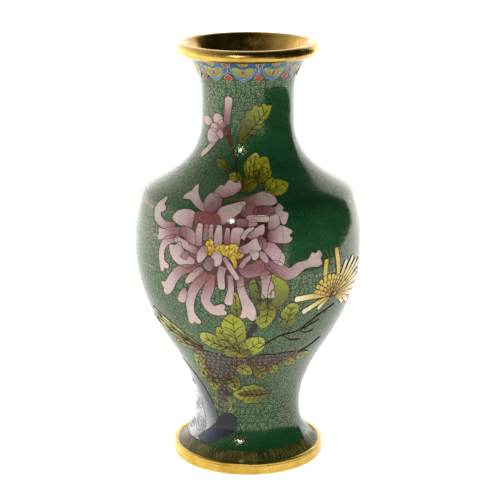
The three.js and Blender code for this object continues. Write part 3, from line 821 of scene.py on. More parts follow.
# bud on the neck
budPetals = [
    shape(stroke([(-27, 204), (-23, 199), (-19, 194)], [5, 3, 1.4]), (-27, 204), (-18, 193), brown, brown),
    shape(stroke([(-37, 198.4), (-44, 194.4), (-50, 190.6), (-55, 188)], [2.6, 3, 3.4, 4]), (-36, 199),
          (-57, 186), rose, lilac, pale, cream),
    shape(stroke([(-26.4, 206), (-25, 213), (-23.6, 220.4)], [3.8, 4.2, 4.8]), (-26, 206), (-23, 222),
          rose, mauve, lilac, pale),
    shape(lobe(-39, 208.6, 7.6, 3.4), (-33, 205), (-42, 212), mauve, lilac, pale),
    shape(lobe(-58, 206.6, 10, 2.9), (-45, 205), (-68, 208), mauve, lilac, pale),
    shape(lobe(-43, 203.6, 8, 2.8), (-36, 203), (-50, 205), rose, lilac, lilac),
    shape(lobe(-46, 198.8, 10.5, 4.4), (-35, 201), (-54, 196), rose, lilac, pale),
    shape(lobe(-33, 205.4, 6, 3.2), (-28, 203), (-37, 208), rose, mauve, pale),
    shape(lobe(-34.5, 200.4, 5, 3), (-28, 202), (-39, 199), rose, lilac, lilac),
    shape(lobe(-27.5, 202, 3.4, 2.6), (-28, 205), (-26, 199), brown, tint(120, 70, 44)),
]
layTiles("bud_petals", budPetals, ["bud"], "pink", wireNodes=["bud_wire"])

# leaves
leafPaint = {
    "olive": tint(88, 90, 20),
    "green": tint(124, 128, 26),
    "lime": tint(158, 162, 38),
    "pale": tint(170, 172, 66),
    "dark": tint(44, 62, 26),
}
olive, leafGreen, lime = (leafPaint[k] for k in ("olive", "green", "lime"))
paleLime, darkLeaf = (leafPaint[k] for k in ("pale", "dark"))
veins = []  # midribs and side veins, drawn after the leaves


def leaf(root, tip, width, lean=0.0, paints=(olive, leafGreen, lime), sides=3, outline=None):
    # a leaf with its midrib and side veins; a given outline replaces the plain blade
    perDegree = widthPerDegree((root[1] + tip[1]) / 2)
    along = Vector(((tip[0] - root[0]) * perDegree, tip[1] - root[1]))
    across = Vector((-along.y, along.x)).normalized()
    line = softened(outline if outline else blade(root, tip, width, lean))

    def spot(share, aside):
        place = along * share + across * (aside + lean * math.sin(math.pi * share))
        return root[0] + place.x / perDegree, root[1] + place.y

    veins.append([spot(s, 0) for s in (0.0, 0.3, 0.6, 0.9)])
    for i in range(sides):
        share = 0.2 + 0.55 * i / max(1, sides - 1)
        for sign in (-1, 1):
            reach = width * (0.4 - 0.1 * abs(share - 0.45))
            points = [spot(share, 0), spot(share + 0.09, sign * reach * 0.5),
                      spot(share + 0.14, sign * reach)]
            points = [p for p in points if inside(line, *p)]
            if len(points) > 1:
                veins.append(points)
    return shape(ragged(outline if outline else blade(root, tip, width, lean)), root, tip, *paints)


def layLeaves(name, leaves, nodes, base=0, **kept):
    layTiles(name, leaves, nodes, "leaf", base=base, **kept)


# three leaves up the neck and shoulder, the neck one with a ragged edge
barkTip = tint(96, 72, 34)
layLeaves("neck_leaves", [
    leaf((-8, 197), (28, 216.5), 13, paints=(olive, olive, leafGreen, lime), sides=5,
          outline=[(-10, 195.6), (-3, 197.2), (3, 200.6), (8, 200.2), (11, 203), (17, 204.6), (18, 207.6),
          (24, 210.2), (28, 214), (29, 217.4), (24, 217), (19, 218.6), (14, 216.6), (8, 217.8), (4, 215),
          (-2, 214.4), (-4, 211), (-9, 209), (-8, 205), (-11, 201)]),
], ["neck_leaf"], wireNodes=["neck_leaf_wire"])
layLeaves("shoulder_leaves", [
    leaf((0, 178), (2, 189), 7, -0.6, (olive, leafGreen, lime), 3),
    leaf((4, 178), (9, 191), 9, 0.4, (leafGreen, lime, paleLime), 3),
    leaf((7, 178), (20, 188), 9, 0.5, (olive, lime, lime), 3),
    leaf((6, 177), (21, 181.4), 6.5, 0.6, (olive, leafGreen, lime), 3),
], ["upper_leaf"], base=1)
layLeaves("right_shoulder_leaves", [
    leaf((10, 171.4), (31, 175), 6.5, 0.6, (olive, lime, lime), 3),
    leaf((12, 172), (22, 177.6), 5.5, 0.2, (leafGreen, lime, paleLime), 2),
    leaf((-7, 173), (8, 177.4), 7, 0.4, (darkLeaf, olive, leafGreen), 2),
    leaf((-4, 177), (-16, 179.4), 4.4, -0.5, (olive, leafGreen, lime), 2),
], ["shoulder_leaf"], base=2)
layLeaves("side_leaves", [
    leaf((-15, 181.6), (-32, 186.4), 4.6, 0.5, (darkLeaf, olive, leafGreen), 2),
], ["side_leaf"])
layLeaves("flank_leaves", [
    leaf((10, 109), (12, 130.6), 9, 1.4, (olive, leafGreen, lime), 4, [(10, 108), (15, 109), (19, 112.4),
          (20.6, 118), (19.4, 123), (16, 127), (13, 130.6), (11, 127), (13, 122), (10.6, 118), (12, 114)]),
    leaf((6, 110), (4, 127), 7, -0.8, (darkLeaf, olive, leafGreen), 3, [(6, 108), (9.6, 112), (7.6, 117),
          (5.4, 120), (3, 127), (0.4, 124), (1.4, 118), (3.4, 113)]),
    leaf((10, 113), (9, 97), 8, 0.6, (olive, leafGreen, lime), 3, [(8, 114), (13.4, 110), (14.6, 105),
          (12.6, 100), (9.4, 96.2), (6.6, 96.4), (4, 101), (6, 106), (3.8, 110)]),
    leaf((-5.6, 104), (-6.4, 119), 5, 0, (olive, leafGreen, lime), 2, [(-6, 103.6), (-8.6, 107),
          (-8.2, 113), (-6.8, 119), (-4.6, 116.6), (-3.8, 111), (-3.6, 105.4)]),
], ["flank_leaf"], base=1)
layLeaves("small_leaves", [
    leaf((21, 96), (23, 110), 8, 0, (olive, leafGreen, lime), 3, [(20, 94.6), (17.6, 98), (19, 101),
          (17, 104), (18.6, 108), (22, 111), (26, 109.4), (27, 105), (25, 102), (27, 99), (24.4, 95.4)]),
], ["small_leaf"])
layLeaves("crown_leaves", [
    leaf((-6, 79), (-17, 96), 11, 0.8, (olive, leafGreen, lime), 3),
    leaf((-5, 78), (-8, 105), 13, 0.8, (olive, leafGreen, lime, lime), 4, [(-5, 78), (-9, 84),
          (-13.4, 92), (-14.6, 97), (-12.6, 102), (-9, 105.4), (-5.4, 103.6), (-2.4, 100), (-1, 92),
          (-2, 84)]),
    leaf((-9, 80), (-28, 88), 9, 0.6, (olive, leafGreen, paleLime), 4, [(-8, 80), (-13, 78.6),
          (-20, 79.4), (-25, 81.4), (-29.4, 85.6), (-28, 90.4), (-22, 91), (-16, 88.4), (-11, 85)]),
    leaf((-3, 79), (9, 88), 9, -0.5, (leafGreen, lime, paleLime), 3, [(-3, 78), (1, 76.8), (6, 77.6),
          (9.8, 82), (9.4, 88.4), (5, 90), (0, 88.6), (-3, 84)]),
    leaf((-5, 80), (-9, 74.6), 9, 0, (olive, leafGreen, leafGreen), 2, [(-15, 80), (-8, 82), (0, 80.4),
          (2, 77), (-3, 74.8), (-9, 74.4), (-15, 76)]),
], ["crown_leaves"], base=1)
layLeaves("pale_leaves", [
    leaf((-30, 80), (-66, 98), 6.6, 0.8, (barkTip, leafGreen, paleLime, paleLime), 3),
    leaf((-31, 79), (-76, 90), 6, -1.2, (barkTip, olive, lime, paleLime), 3),
    leaf((-31, 78), (-54, 79), 7, -0.6, (barkTip, olive, leafGreen, lime), 3),
    leaf((-33, 77), (-45, 63), 7.4, 0.4, (olive, leafGreen, lime), 3),
], ["pale_leaves"], base=1)
layLeaves("low_leaves", [
    leaf((-29, 52), (-44, 60), 5.6, 0.4, (olive, leafGreen, lime), 3),
    leaf((-30, 53), (-33, 66), 5, 0.4, (darkLeaf, olive, leafGreen), 2),
    leaf((-20, 59), (-10, 51), 5.4, 0.6, (olive, leafGreen, lime), 2),
    leaf((-27, 55), (-12, 58), 4.6, -0.5, (darkLeaf, olive, leafGreen), 2),
], ["low_leaves"], base=1)
layLeaves("waist_leaves", [
    leaf((22, 46.4), (-14, 46.8), 12, 0, (olive, leafGreen, lime), 5, [(-15, 46.6), (-11, 49), (-7, 50.2),
          (-4, 52.6), (1, 53), (5, 54.2), (10, 52.6), (15, 51.6), (18, 48.8), (22.6, 46.4), (20, 43.4),
          (15, 42), (10, 40.2), (4, 40.8), (-2, 40), (-6, 42.2), (-11, 43.6)]),
], ["waist_leaf"], base=1, wireNodes=["waist_leaf_wire"])
layTiles("waist_leaf_middle", [
    shape(stroke([(18, 47), (8, 47.6), (-2, 47), (-9, 46.8)], [1.4, 4.6, 4, 1.2]), (4, 47), (4, 50),
          tint(104, 74, 26), olive),
], [], "leaf", base=3)

# roots, trunk and the flower's stem
barkDark, barkMid, barkGrey = tint(34, 18, 14), tint(58, 32, 24), tint(84, 76, 66)
barkFirst = len(covered)
layTiles("left_root", [
    shape([(-38, 76.4), (-30, 77.2), (-20, 76), (-10, 75), (-2, 75), (1, 71.6), (-3, 67.6), (-9, 66),
          (-11, 61.6), (-17, 60), (-20, 57.4), (-28, 58.6), (-31, 60.6), (-37, 61.6), (-33.6, 66),
          (-35, 70)], (-2, 72), (-38, 68), barkMid, barkDark, barkDark),
], ["left_root"], "bark", base=3)
layTiles("right_root", [
    shape([(0, 71.6), (4, 75), (10, 76.8), (18, 76), (27, 76.6), (37, 75.4), (44, 74.6), (36, 72.6),
          (30, 71), (22, 69.6), (17, 67), (10, 66), (5, 67.6)], (2, 72), (42, 74), barkMid, barkDark,
          barkMid),
], ["right_root"], "bark", base=3)
layLeaves("root_leaves", [
    leaf((-32, 70), (-46, 55), 8, 0.8, (barkTip, leafGreen, lime), 3),
    leaf((-31, 61), (-35, 47), 8.4, -0.4, (barkTip, olive, lime), 3),
    leaf((-17, 62), (-12, 49), 9, 0.6, (barkTip, olive, lime), 3),
    leaf((-12, 69), (3, 62), 8, 0.6, (barkTip, leafGreen, lime), 3),
    leaf((5, 68), (14, 58), 9, 0.6, (barkTip, olive, leafGreen), 3),
    leaf((15, 69), (24, 62), 7, -0.4, (barkTip, olive, lime), 2),
    leaf((25, 72), (38, 67), 6, -0.4, (barkTip, leafGreen, lime), 3),
    leaf((32, 73), (50, 71), 6, -0.6, (barkTip, leafGreen, lime), 3),
], [], base=2)
layTiles("trunk", [
    shape(stroke([(-29, 36), (-27, 44), (-24, 51), (-22, 59)], [4.4, 4.4, 4, 4.6]), (-29, 36), (-22, 59),
          barkGrey, barkMid, barkDark),
    shape(stroke([(-26, 49), (-20, 46), (-16, 47)], [2, 1.6, 1]), (-26, 49), (-16, 47), barkDark, barkMid),
], ["trunk"], "bark", base=2)
layTiles("flower_stem", [
    shape(stroke([(-1, 86), (1, 92), (4, 98), (5, 104)], [2.4, 2.8, 3, 2.4]), (-1, 86), (5, 104),
          barkDark, barkMid),
], [], "bark", base=0)

barkLines = covered[barkFirst:]

# rock: white and coiled on its left, shaded to black at its right foot
rockWhite, rockGrey = tint(208, 208, 203), tint(98, 108, 120)
rockBlack, rockBlue = tint(20, 22, 28), tint(60, 74, 96)
layTiles("rock", [
    shape([(-82, 58), (-74, 61.6), (-62, 58), (-52, 50), (-43, 40), (-36, 32), (-33, 24), (-44, 15),
          (-54, 13), (-66, 12.6), (-80, 12.6), (-94, 13), (-101, 18), (-103, 25), (-97, 31), (-100, 38),
          (-94, 45), (-92, 52)], (-80, 30), (-36, 44), rockWhite, rockWhite, tint(92, 96, 104),
          tint(38, 42, 50)),
    shape([(-91, 40), (-82, 39), (-72, 36), (-62, 33), (-56, 29), (-52, 22), (-54, 15), (-64, 12.8),
          (-78, 12.8), (-88, 15), (-92, 21), (-89, 28), (-93, 34)], (-52, 24), (-70, 28),
          tint(160, 162, 162), rockWhite, rockWhite),
    shape([(-57, 14.2), (-53, 17.6), (-46, 20.6), (-38, 25), (-29, 24), (-27, 19), (-35, 15), (-46, 13)],
          (-34, 22), (-56, 14), tint(40, 46, 58), rockBlue, rockGrey),
    shape([(-37, 25), (-34, 29), (-27, 32), (-19, 32), (-12.6, 30.4), (-12, 25.6), (-15, 22), (-21, 19.4),
          (-28, 17.6), (-35, 18.6)], (-22, 32), (-26, 18), rockBlack, rockBlack, tint(44, 50, 58)),
], ["rock"], "rock", base=1)


def spiral(azimuth, height, radius, turns, start=0.0, hand=1):
    # a coil of wire laid round a point, from its outside in
    perDegree = widthPerDegree(height)
    count = int(8 * turns)
    line = []
    for i in range(count + 1):
        share = i / count
        angle = math.radians(start + hand * 360 * turns * share)
        reach = radius * (1 - 0.86 * share)
        line.append((azimuth + reach * math.cos(angle) / perDegree, height + reach * math.sin(angle)))
    return line


rockScrolls = [spiral(-63, 21.5, 5.6, 2.2, 120), spiral(-66, 34, 4.4, 1.6, 200),
               spiral(-82, 30, 4, 1.6, 0, -1), spiral(-82, 18, 3.6, 1.6, 40, -1),
               spiral(-72, 47, 3.4, 1.5, 90)]
drawWires("rock_scrolls", rockScrolls, 0.2, 0.16, wireMaterial("rockWire", tint(104, 98, 90), 0.5))
rockWires = [spiral(-22, 38, 3, 2, 200), spiral(-17, 42, 2.4, 1.8, 30, -1), spiral(-18, 35, 1.8, 1.6, 0),
             spiral(-34, 41, 1.8, 1.6, 0), spiral(-36, 36, 1.6, 1.6, 90)]
drawWires("rock_wires", rockWires, 0.2, 0.15, giltWire)

# pale scrolls all over the bark
barkScroll = {"row": 2.8, "pitch": 3.1, "stagger": 1.1, "radius": 1.0, "turns": 1.1, "wire": 0.085}
barkWires = []
for low, high, left, right in ((59, 76, -37, -1), (67, 76, 4, 40), (38, 57, -29, -22)):
    row = 0
    while low < high:
        perDegree = widthPerDegree(low)
        azimuth = left + (row % 2) * barkScroll["stagger"] / perDegree
        while azimuth < right:
            if any(inside(line, azimuth, low) for line in barkLines):
                barkWires.append(spiral(azimuth, low, barkScroll["radius"], barkScroll["turns"],
                                        random.uniform(0, 360), random.choice((-1, 1))))
            azimuth += barkScroll["pitch"] / perDegree
        low += barkScroll["row"]
        row += 1
drawWires("bark_wires", barkWires, 0.24, barkScroll["wire"], giltWire)

# twigs and stems: thin brown wires with thorns
twigs = [
    [(7, 82), (14, 87), (20, 90), (30, 91.6), (43, 96.4)],
    [(20, 90), (26, 86), (33, 85)],
    [(30, 91.6), (36, 89), (41, 90)],
    [(-17, 192.6), (-13.6, 188), (-11, 182), (-8, 178)],
    [(-11, 184), (-14, 182.6), (-17, 181.8)],
    [(36, 75), (44, 77.4), (52, 82)],
    [(30, 91.6), (40, 99), (52, 104)],
]
thorns = [[(a, z), (a + da, z + dz)] for a, z, da, dz in (
    (12, 85.6, -0.6, 2), (16, 88, 0.4, -2), (24, 91, -0.6, 2), (34, 93, 0.4, -2), (38, 94.4, -0.8, 2),
    (40, 99, -0.6, 2), (46, 101.6, 0.6, -2))]
twigWire = wireMaterial("twigWire", tint(74, 44, 34), 0.5)
drawWires("twigs", twigs, 0.1, 0.42, twigWire)
drawWires("thorns", thorns, 0.1, 0.26, twigWire)

# yellow chrysanthemum on the right side
yellow = {"tip": tint(222, 194, 84), "mid": tint(208, 170, 44), "root": tint(186, 122, 26),
          "white": tint(240, 232, 190)}
florets = []


def floret(angle, reach, width, start, paints, centre=(49, 111)):
    # one petal of a fan: the angle is measured up from the right
    perDegree = widthPerDegree(centre[1])
    spots = []
    for share in (0, 0.5, 1):
        along = start + (reach - start) * share
        sag = 0.9 * math.sin(math.pi * share)
        spots.append((centre[0] + along * math.cos(math.radians(angle)) / perDegree,
                      centre[1] + along * math.sin(math.radians(angle)) + sag))
    return shape(stroke(spots, [width * 0.6, width, width * 1.05]), spots[0], spots[-1], *paints)


fanPaints = ([yellow["mid"], yellow["tip"], yellow["white"]],
             [yellow["root"], yellow["mid"], yellow["tip"]])
for k, (angle, reach, width) in enumerate((
        (-14, 36, 3), (-4, 31, 3), (5, 35, 3.2), (14, 30, 3), (24, 33, 3), (34, 27, 3), (46, 25, 3.2),
        (62, 20, 3), (-24, 26, 2.8), (176, 27, 3.4), (198, 22, 3.2), (-32, 16, 2.6), (212, 12, 2.6))):
    florets.append(floret(angle, reach, width, 3, fanPaints[0]))
florets += [
    shape(stroke([(41.6, 117), (41, 126), (41.6, 132.6)], [2.4, 3.4, 3.2]), (41, 117), (41, 132),
          yellow["mid"], yellow["tip"], yellow["tip"]),
    shape(stroke([(50.6, 117), (50.4, 128), (48.6, 138)], [2.6, 3.8, 3.2]), (51, 117), (49, 138),
          yellow["mid"], yellow["tip"], yellow["tip"]),
]
for row, (count, reach, width) in enumerate(((11, 13, 2.6), (9, 10, 2.4), (7, 7, 2.2))):
    for i in range(count):  # the head: rows of short florets, each in front of the last
        angle = 158 - (136 - 12 * row) * i / (count - 1)
        uneven = reach + 1.2 * math.sin(7 * i + row)
        florets.append(floret(angle, uneven, width, 1.5, fanPaints[1], (46.6, 110.6)))
for k in range(5):
    florets.append(floret(20 + 32 * k, 4.4, 2.2, 0.5, [yellow["root"], yellow["mid"]], (46.6, 110)))
layTiles("yellow_florets", florets, ["yellow_flower"], "yellow", wireNodes=["yellow_flower_wire"],
         wireRadius=0.14, base=1)

# back: a smaller spray with an open flower, a bud and leaves
backPetals = []
for ring, (count, reach, width) in enumerate(((13, 17.5, 7), (11, 11.5, 5.5))):
    for i in range(count):
        angle = 2 * math.pi * (i + 0.5 * ring) / count
        perDegree = widthPerDegree(133)
        span = reach * (1 + 0.12 * math.sin(5 * i + ring))
        root = (215 + 3 * math.cos(angle) / perDegree, 133 + 3 * math.sin(angle))
        tip = (215 + span * math.cos(angle) / perDegree, 133 + span * 0.98 * math.sin(angle))
        backPetals.append(shape(blade(root, tip, width, 1.2 * math.sin(3 * i)), root, tip,
                                magenta, mauve, lilac, pale, cream))
layTiles("back_petals", backPetals, ["back_flower"], "pink", base=1)
backHeart = [shape(stroke([(213 + 1.3 * k, 131 + (k % 2)), (213.4 + 1.3 * k, 136 + (k % 3))], [2, 2.6]),
                   (213, 131), (214, 137), amber, gold) for k in range(-1, 4)]
layTiles("back_heart", backHeart, ["back_heart"], "yellow", base=14)
layLeaves("back_leaves", [
    leaf((182, 112), (171, 137), 14, 1.2, (olive, leafGreen, lime), 5),
], ["back_leaf"])
layLeaves("back_low_leaves", [
    leaf((180, 96), (201, 85.4), 12, -0.8, (olive, leafGreen, lime), 4),
    leaf((166, 84), (152, 79), 7, 0.6, (darkLeaf, olive, leafGreen), 3),
], ["back_low_leaf"])
layTiles("back_bud", [
    shape(blade((159, 95), (146, 113), 7, 1.4), (159, 95), (146, 113), rose, mauve, lilac),
    shape(blade((160, 95), (153, 114), 6, -0.8), (160, 95), (153, 114), mauve, lilac, pale),
    shape(blade((159.6, 94), (149, 112), 4.6, 0.2), (160, 94), (149, 112), magenta, lilac, cream),
    shape(blade((161.4, 90), (156, 100), 4.4, 0.2), (161, 90), (156, 100), olive, leafGreen),
], ["back_bud"], "pink", base=1)
layTiles("back_branch", [
    shape(stroke([(150, 65), (161, 76), (170, 89), (186, 105), (204, 117)], [6, 5, 4, 3, 2]), (150, 65),
          (204, 117), barkDark, barkMid, barkMid),
], ["back_branch"], "bark")
drawWires("veins", veins, 0.26, 0.15, twigWire)

# border round the neck: lappets under the lip
lappet = {"count": 11, "first": -5, "top": 243, "wire": 0.16}
skyBlue, deepBlue = tint(76, 122, 172), tint(44, 80, 138)
redEnamel, orangeEnamel, heartGreen = tint(146, 40, 40), tint(150, 124, 40), tint(110, 128, 40)
lappetParts = []
for i in range(lappet["count"]):
    m = lappet["first"] + 360 / lappet["count"] * i
    half = 180 / lappet["count"]
    top = lappet["top"]
    lappetParts += [
        shape([(m - half, top), (m - half, 237), (m - half * 0.72, 235.6), (m - half * 0.4, 233),
              (m, 231.4), (m + half * 0.4, 233), (m + half * 0.72, 235.6), (m + half, 237),
              (m + half, top), (m, top)], (m, 231), (m, top), skyBlue, deepBlue),
        shape([(m - 12.6, 242.6), (m - 11.6, 237.4), (m - 6, 234.4), (m, 233), (m + 6, 234.4),
              (m + 11.6, 237.4), (m + 12.6, 242.6), (m, 242.8)], (m, 233), (m, top), tint(44, 84, 112),
              tint(62, 112, 138)),
        shape([(m, 234), (m - 5, 234.6), (m - 9, 236.6), (m - 10.4, 239.4), (m - 6, 239.6), (m, 238),
              (m + 6, 239.6), (m + 10.4, 239.4), (m + 9, 236.6), (m + 5, 234.6)], (m, 234), (m, 240),
              heartGreen, tint(160, 156, 58)),
        shape([(m, 234.8), (m - 2.4, 236.8), (m, 238.8), (m + 2.4, 236.8)], (m, 235), (m, 239), redEnamel,
              tint(168, 72, 56)),
        shape([(m - 4.4, top), (m - 3.4, 241.2), (m, 240.4), (m + 3.4, 241.2), (m + 4.4, top)],
              (m, 240.4), (m, top), orangeEnamel, tint(190, 158, 60)),
        shape([(m + half - 4, top), (m + half - 2.6, 240.6), (m + half, 239.8), (m + half + 2.6, 240.6),
              (m + half + 4, top)], (m + half, 240), (m + half, top), tint(150, 66, 80),
              tint(170, 112, 118)),
        shape([(m + half - 4.4, 233.7), (m + half, 236), (m + half + 4.4, 233.7), (m + half, 231.4)],
              (m + half, 231), (m + half, 236), redEnamel, tint(168, 72, 56)),
    ]
layTiles("neck_border", lappetParts, ["neck_border"], "blue", wire=giltWire, wireRadius=lappet["wire"])

# grass in the foot border
grass = {"count": 150, "root": 7.5, "shortest": 2.4, "longest": 4.4, "lean": 2.6, "wire": 0.14}
blades = []
for k in range(grass["count"]):
    azimuth = 360 / grass["count"] * k + random.uniform(-0.6, 0.6)
    reach = random.uniform(grass["shortest"], grass["longest"])
    lean = random.uniform(-grass["lean"], grass["lean"])
    blades.append([(azimuth, grass["root"]), (azimuth + lean * 0.3, grass["root"] + reach * 0.5),
                   (azimuth + lean, grass["root"] + reach)])
drawWires("grass_wires", blades, 0.02, grass["wire"], giltWire)

# curls of gilt wire over the ground
curls = {
    "pitch": 2.85, "row": 2.45,
    "radius": 1.22, "turns": 0.9, "closing": 0.66, "segments": 7,
    "wire": 0.115, "depth": 0.06,
    "smallest": 0.85, "largest": 1.12, "slip": 0.4,
    "zones": (13.2, 88, 126, 160, 232),  # one piece for each height zone
}
curve = bpy.data.curves.new("curl", "CURVE")
curve.dimensions = "3D"
spline = curve.splines.new("POLY")
spline.points.add(curls["segments"])
for i, spot in enumerate(spline.points):
    share = i / curls["segments"]
    angle = 2 * math.pi * curls["turns"] * share
    reach = curls["radius"] * (1 - curls["closing"] * share)
    spot.co = (reach * math.cos(angle), reach * math.sin(angle), 0, 1)
    spot.tilt = math.radians(45)  # the flat of the wire faces out
curve.bevel_depth = curls["wire"]
curve.bevel_resolution = 0
curve.use_fill_caps = True
curlPiece = bpy.data.objects.new("curl", curve)
bpy.context.scene.collection.objects.link(curlPiece)
selectOnly([curlPiece])
bpy.ops.object.convert(target="MESH")
curlPiece = bpy.context.active_object
curlPoints = [tuple(v.co) for v in curlPiece.data.vertices]
curlFaces = [tuple(p.vertices) for p in curlPiece.data.polygons]
coverBoxes = [(boxOf(line), line) for line in covered]


def isCovered(azimuth, height):
    for turn in (azimuth, azimuth + 360, azimuth - 360):
        for (a0, a1, h0, h1), line in coverBoxes:
            if a0 < turn < a1 and h0 < height < h1 and inside(line, turn, height):
                return True
    return False


for zone, (low, high) in enumerate(zip(curls["zones"], curls["zones"][1:])):
    points, faces = [], []
    height, row = low, 0
    while height < high:
        radius, slope = wallAt(height)
        steep = math.hypot(1, slope)
        count = round(2 * math.pi * radius / curls["pitch"])
        for i in range(count):
            azimuth = 360 * (i + 0.5 * (row % 2)) / count - 180
            azimuth += math.degrees(random.uniform(-curls["slip"], curls["slip"]) / radius)
            turn = random.uniform(0, 2 * math.pi)
            hand = random.choice((-1, 1))
            size = random.uniform(curls["smallest"], curls["largest"])
            rise = height + random.uniform(-0.3, 0.3) / steep
            if isCovered(azimuth, rise):
                continue
            first = len(points)
            cosTurn, sinTurn = math.cos(turn) * size, math.sin(turn) * size
            for x, y, z in curlPoints:
                y *= hand
                across, up = x * cosTurn - y * sinTurn, x * sinTurn + y * cosTurn
                points.append(onWall(azimuth + math.degrees(across / radius), rise + up / steep,
                                     z - curls["depth"]))
            faces += [tuple(first + v for v in (face if hand > 0 else face[::-1])) for face in curlFaces]
        height += curls["row"] / steep
        row += 1
    mesh = bpy.data.meshes.new(f"curls_{zone + 1}")
    mesh.from_pydata(points, [], faces)
    piece = bpy.data.objects.new(mesh.name, mesh)
    bpy.context.scene.collection.objects.link(piece)
    finishPiece(piece, mesh.name, curlWire)
bpy.data.objects.remove(curlPiece)

# stage, camera and light
stageLook = {
    "floorSize": 80, "floorGlow": 0.8, "farGlow": 1.9, "glowFrom": 0.12, "glowTo": 0.9,
    # painted light: the floor's own emission glow is made weaker in front
    "frontFrom": -0.6, "frontTo": -0.16, "frontGlow": 0.3,  # the floor in front is lit less
    "cameraPlace": (0.0009, -0.9626, 0.3943), "cameraPitch": 15.6, "lens": 121.2, "sensor": 36,
}
deselectAll()
bpy.ops.mesh.primitive_grid_add(x_subdivisions=20, y_subdivisions=20, size=stageLook["floorSize"],
                                location=(0, 0, 0))
floor = bpy.context.active_object
floor.name = "floor"
bpy.ops.object.transform_apply(location=True, rotation=True, scale=True)
floorPaint, tree, shader = newMaterial("floorPaint")
tree.links.new(rampOn(tree, noiseOn(tree, objectPlace(tree), 3, 2), [(0.3, grey(0.9)), (0.7, grey(0.93))]),
               shader.inputs["Base Color"])
shader.inputs["Roughness"].default_value = 0.9
shader.inputs["Specular IOR Level"].default_value = 0.1
shader.inputs["Emission Color"].default_value = (1, 1, 1, 1)
# painted light: the white sweep glows by its own emission, more strongly away from the vase and weaker in
# front
reach = tree.nodes.new("ShaderNodeVectorMath")
reach.operation = "LENGTH"
tree.links.new(objectPlace(tree), reach.inputs[0])
glow = rangeOn(tree, reach.outputs["Value"], stageLook["glowFrom"], stageLook["glowTo"],
               stageLook["floorGlow"], stageLook["farGlow"])
apart = tree.nodes.new("ShaderNodeSeparateXYZ")
tree.links.new(objectPlace(tree), apart.inputs["Vector"])
frontDim = rangeOn(tree, apart.outputs["Y"], stageLook["frontFrom"], stageLook["frontTo"],
                   stageLook["frontGlow"], 1.0)
tree.links.new(mathOn(tree, "MULTIPLY", glow, frontDim), shader.inputs["Emission Strength"])
floor.data.materials.append(floorPaint)

cameraData = bpy.data.cameras.new("camera")
cameraData.lens = stageLook["lens"]
cameraData.sensor_width = stageLook["sensor"]
cameraData.clip_start = 0.01
camera = bpy.data.objects.new("camera", cameraData)
bpy.context.scene.collection.objects.link(camera)
camera.location = stageLook["cameraPlace"]
camera.rotation_euler = (math.radians(90 - stageLook["cameraPitch"]), 0, 0)
bpy.context.scene.camera = camera

world = bpy.data.worlds.new("studio")
bpy.context.scene.world = world
world.use_nodes = True
tree = world.node_tree
background = tree.nodes["Background"]
direction = tree.nodes.new("ShaderNodeTexCoord").outputs["Generated"]
split = tree.nodes.new("ShaderNodeSeparateXYZ")
tree.links.new(direction, split.inputs["Vector"])

# white at the sides and behind, dim in front, and a dark round patch above and to the right
skyLook = {
    "white": 2.5, "backdrop": 1.0,
    "dark": 0.012, "darkCentre": (0.62, -0.25, 0.75), "darkFrom": 0.53, "darkTo": 0.6,
    # brightness by degrees round from the front, and by height
    "ring": [(-180, 1.0), (-120, 1.0), (-85, 0.55), (-50, 0.2), (-25, 0.05), (20, 0.05), (60, 0.3),
             (100, 1.0), (180, 1.0)],
    "overhead": [(0.1, 1.0), (0.5, 0.5), (0.85, 0.16)],
}
forward = mathOn(tree, "MULTIPLY", split.outputs["Y"], -1.0)
turn = mathOn(tree, "ARCTAN2", split.outputs["X"], forward)
roundShare = mathOn(tree, "DIVIDE", mathOn(tree, "ADD", turn, math.pi), 2 * math.pi)
ring = rampOn(tree, roundShare, [((a + 180) / 360, grey(v)) for a, v in skyLook["ring"]])
bright = mixOn(tree, 1.0, ring, grey(skyLook["white"]), "MULTIPLY")
overhead = rampOn(tree, split.outputs["Z"], [(z, grey(v)) for z, v in skyLook["overhead"]])
bright = mixOn(tree, 1.0, bright, overhead, "MULTIPLY")
dot = tree.nodes.new("ShaderNodeVectorMath")
dot.operation = "DOT_PRODUCT"
dot.inputs[1].default_value = Vector(skyLook["darkCentre"]).normalized()
tree.links.new(direction, dot.inputs[0])
patch = rangeOn(tree, dot.outputs["Value"], skyLook["darkFrom"], skyLook["darkTo"], 0.0, 1.0)
surround = mixOn(tree, patch, bright, grey(skyLook["dark"]))
eye = tree.nodes.new("ShaderNodeLightPath")
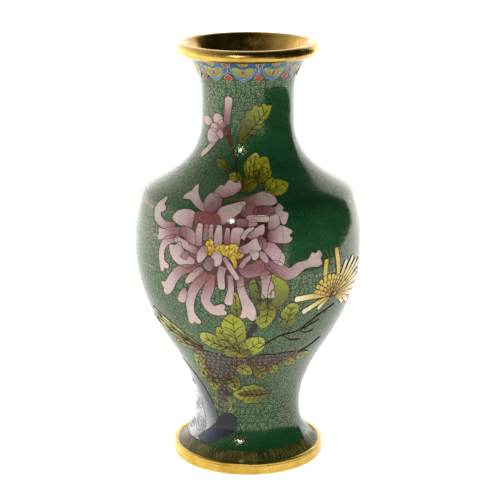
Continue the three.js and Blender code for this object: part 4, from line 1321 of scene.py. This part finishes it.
tree.links.new(mixOn(tree, eye.outputs["Is Camera Ray"], surround, grey(skyLook["backdrop"])),
               background.inputs["Color"])
background.inputs["Strength"].default_value = 1.0

# a black flag on the floor at the right, seen only in the gloss
flag = {"from": (0.30, -0.38), "to": (1.05, 0.85), "height": 1.2}
deselectAll()
bpy.ops.mesh.primitive_grid_add(x_subdivisions=8, y_subdivisions=8, size=1, location=(0, 0, 0))
flagPiece = bpy.context.active_object
flagPiece.name = "black_flag"
for vertex in flagPiece.data.vertices:
    share, rise = vertex.co.x + 0.5, vertex.co.y + 0.5
    vertex.co = (flag["from"][0] + (flag["to"][0] - flag["from"][0]) * share,
                 flag["from"][1] + (flag["to"][1] - flag["from"][1]) * share, 0.001 + rise * flag["height"])
flagPaint, tree, shader = newMaterial("flagCloth")
tree.links.new(rampOn(tree, noiseOn(tree, objectPlace(tree), 40), [(0.3, grey(0.008)), (0.7, grey(0.014))]),
               shader.inputs["Base Color"])
shader.inputs["Roughness"].default_value = 1.0
shader.inputs["Specular IOR Level"].default_value = 0.0
flagPiece.data.materials.append(flagPaint)
flagPiece.visible_camera = False
flagPiece.visible_diffuse = False
flagPiece.visible_shadow = False

# lamps: place, size, power, colour, and whether the glaze mirrors them; all look at the belly
lampAim = (0, 0, 0.13)
lamps = {
    "key": ((-0.42, -1.3, 0.9), 0.06, 6, (1.0, 0.98, 0.95), True),
    "soft": ((0.5, -1.4, 1.3), 0.9, 3.5, (1, 1, 1), False),
    "back": ((0.0, 1.8, 1.8), 1.6, 20, (1, 1, 1), False),
}
for name, (place, size, power, colour, mirrored) in lamps.items():
    lampData = bpy.data.lights.new(name, "AREA")
    lampData.shape = "DISK"
    lampData.size = size
    lampData.energy = power
    lampData.color = colour
    lamp = bpy.data.objects.new(name, lampData)
    bpy.context.scene.collection.objects.link(lamp)
    lamp.location = place
    lamp.visible_glossy = mirrored
    lamp.rotation_euler = (Vector(lampAim) - Vector(place)).to_track_quat("-Z", "Y").to_euler()
print("stage, camera and lamps set")

bpy.context.scene.view_settings.view_transform = "Standard"
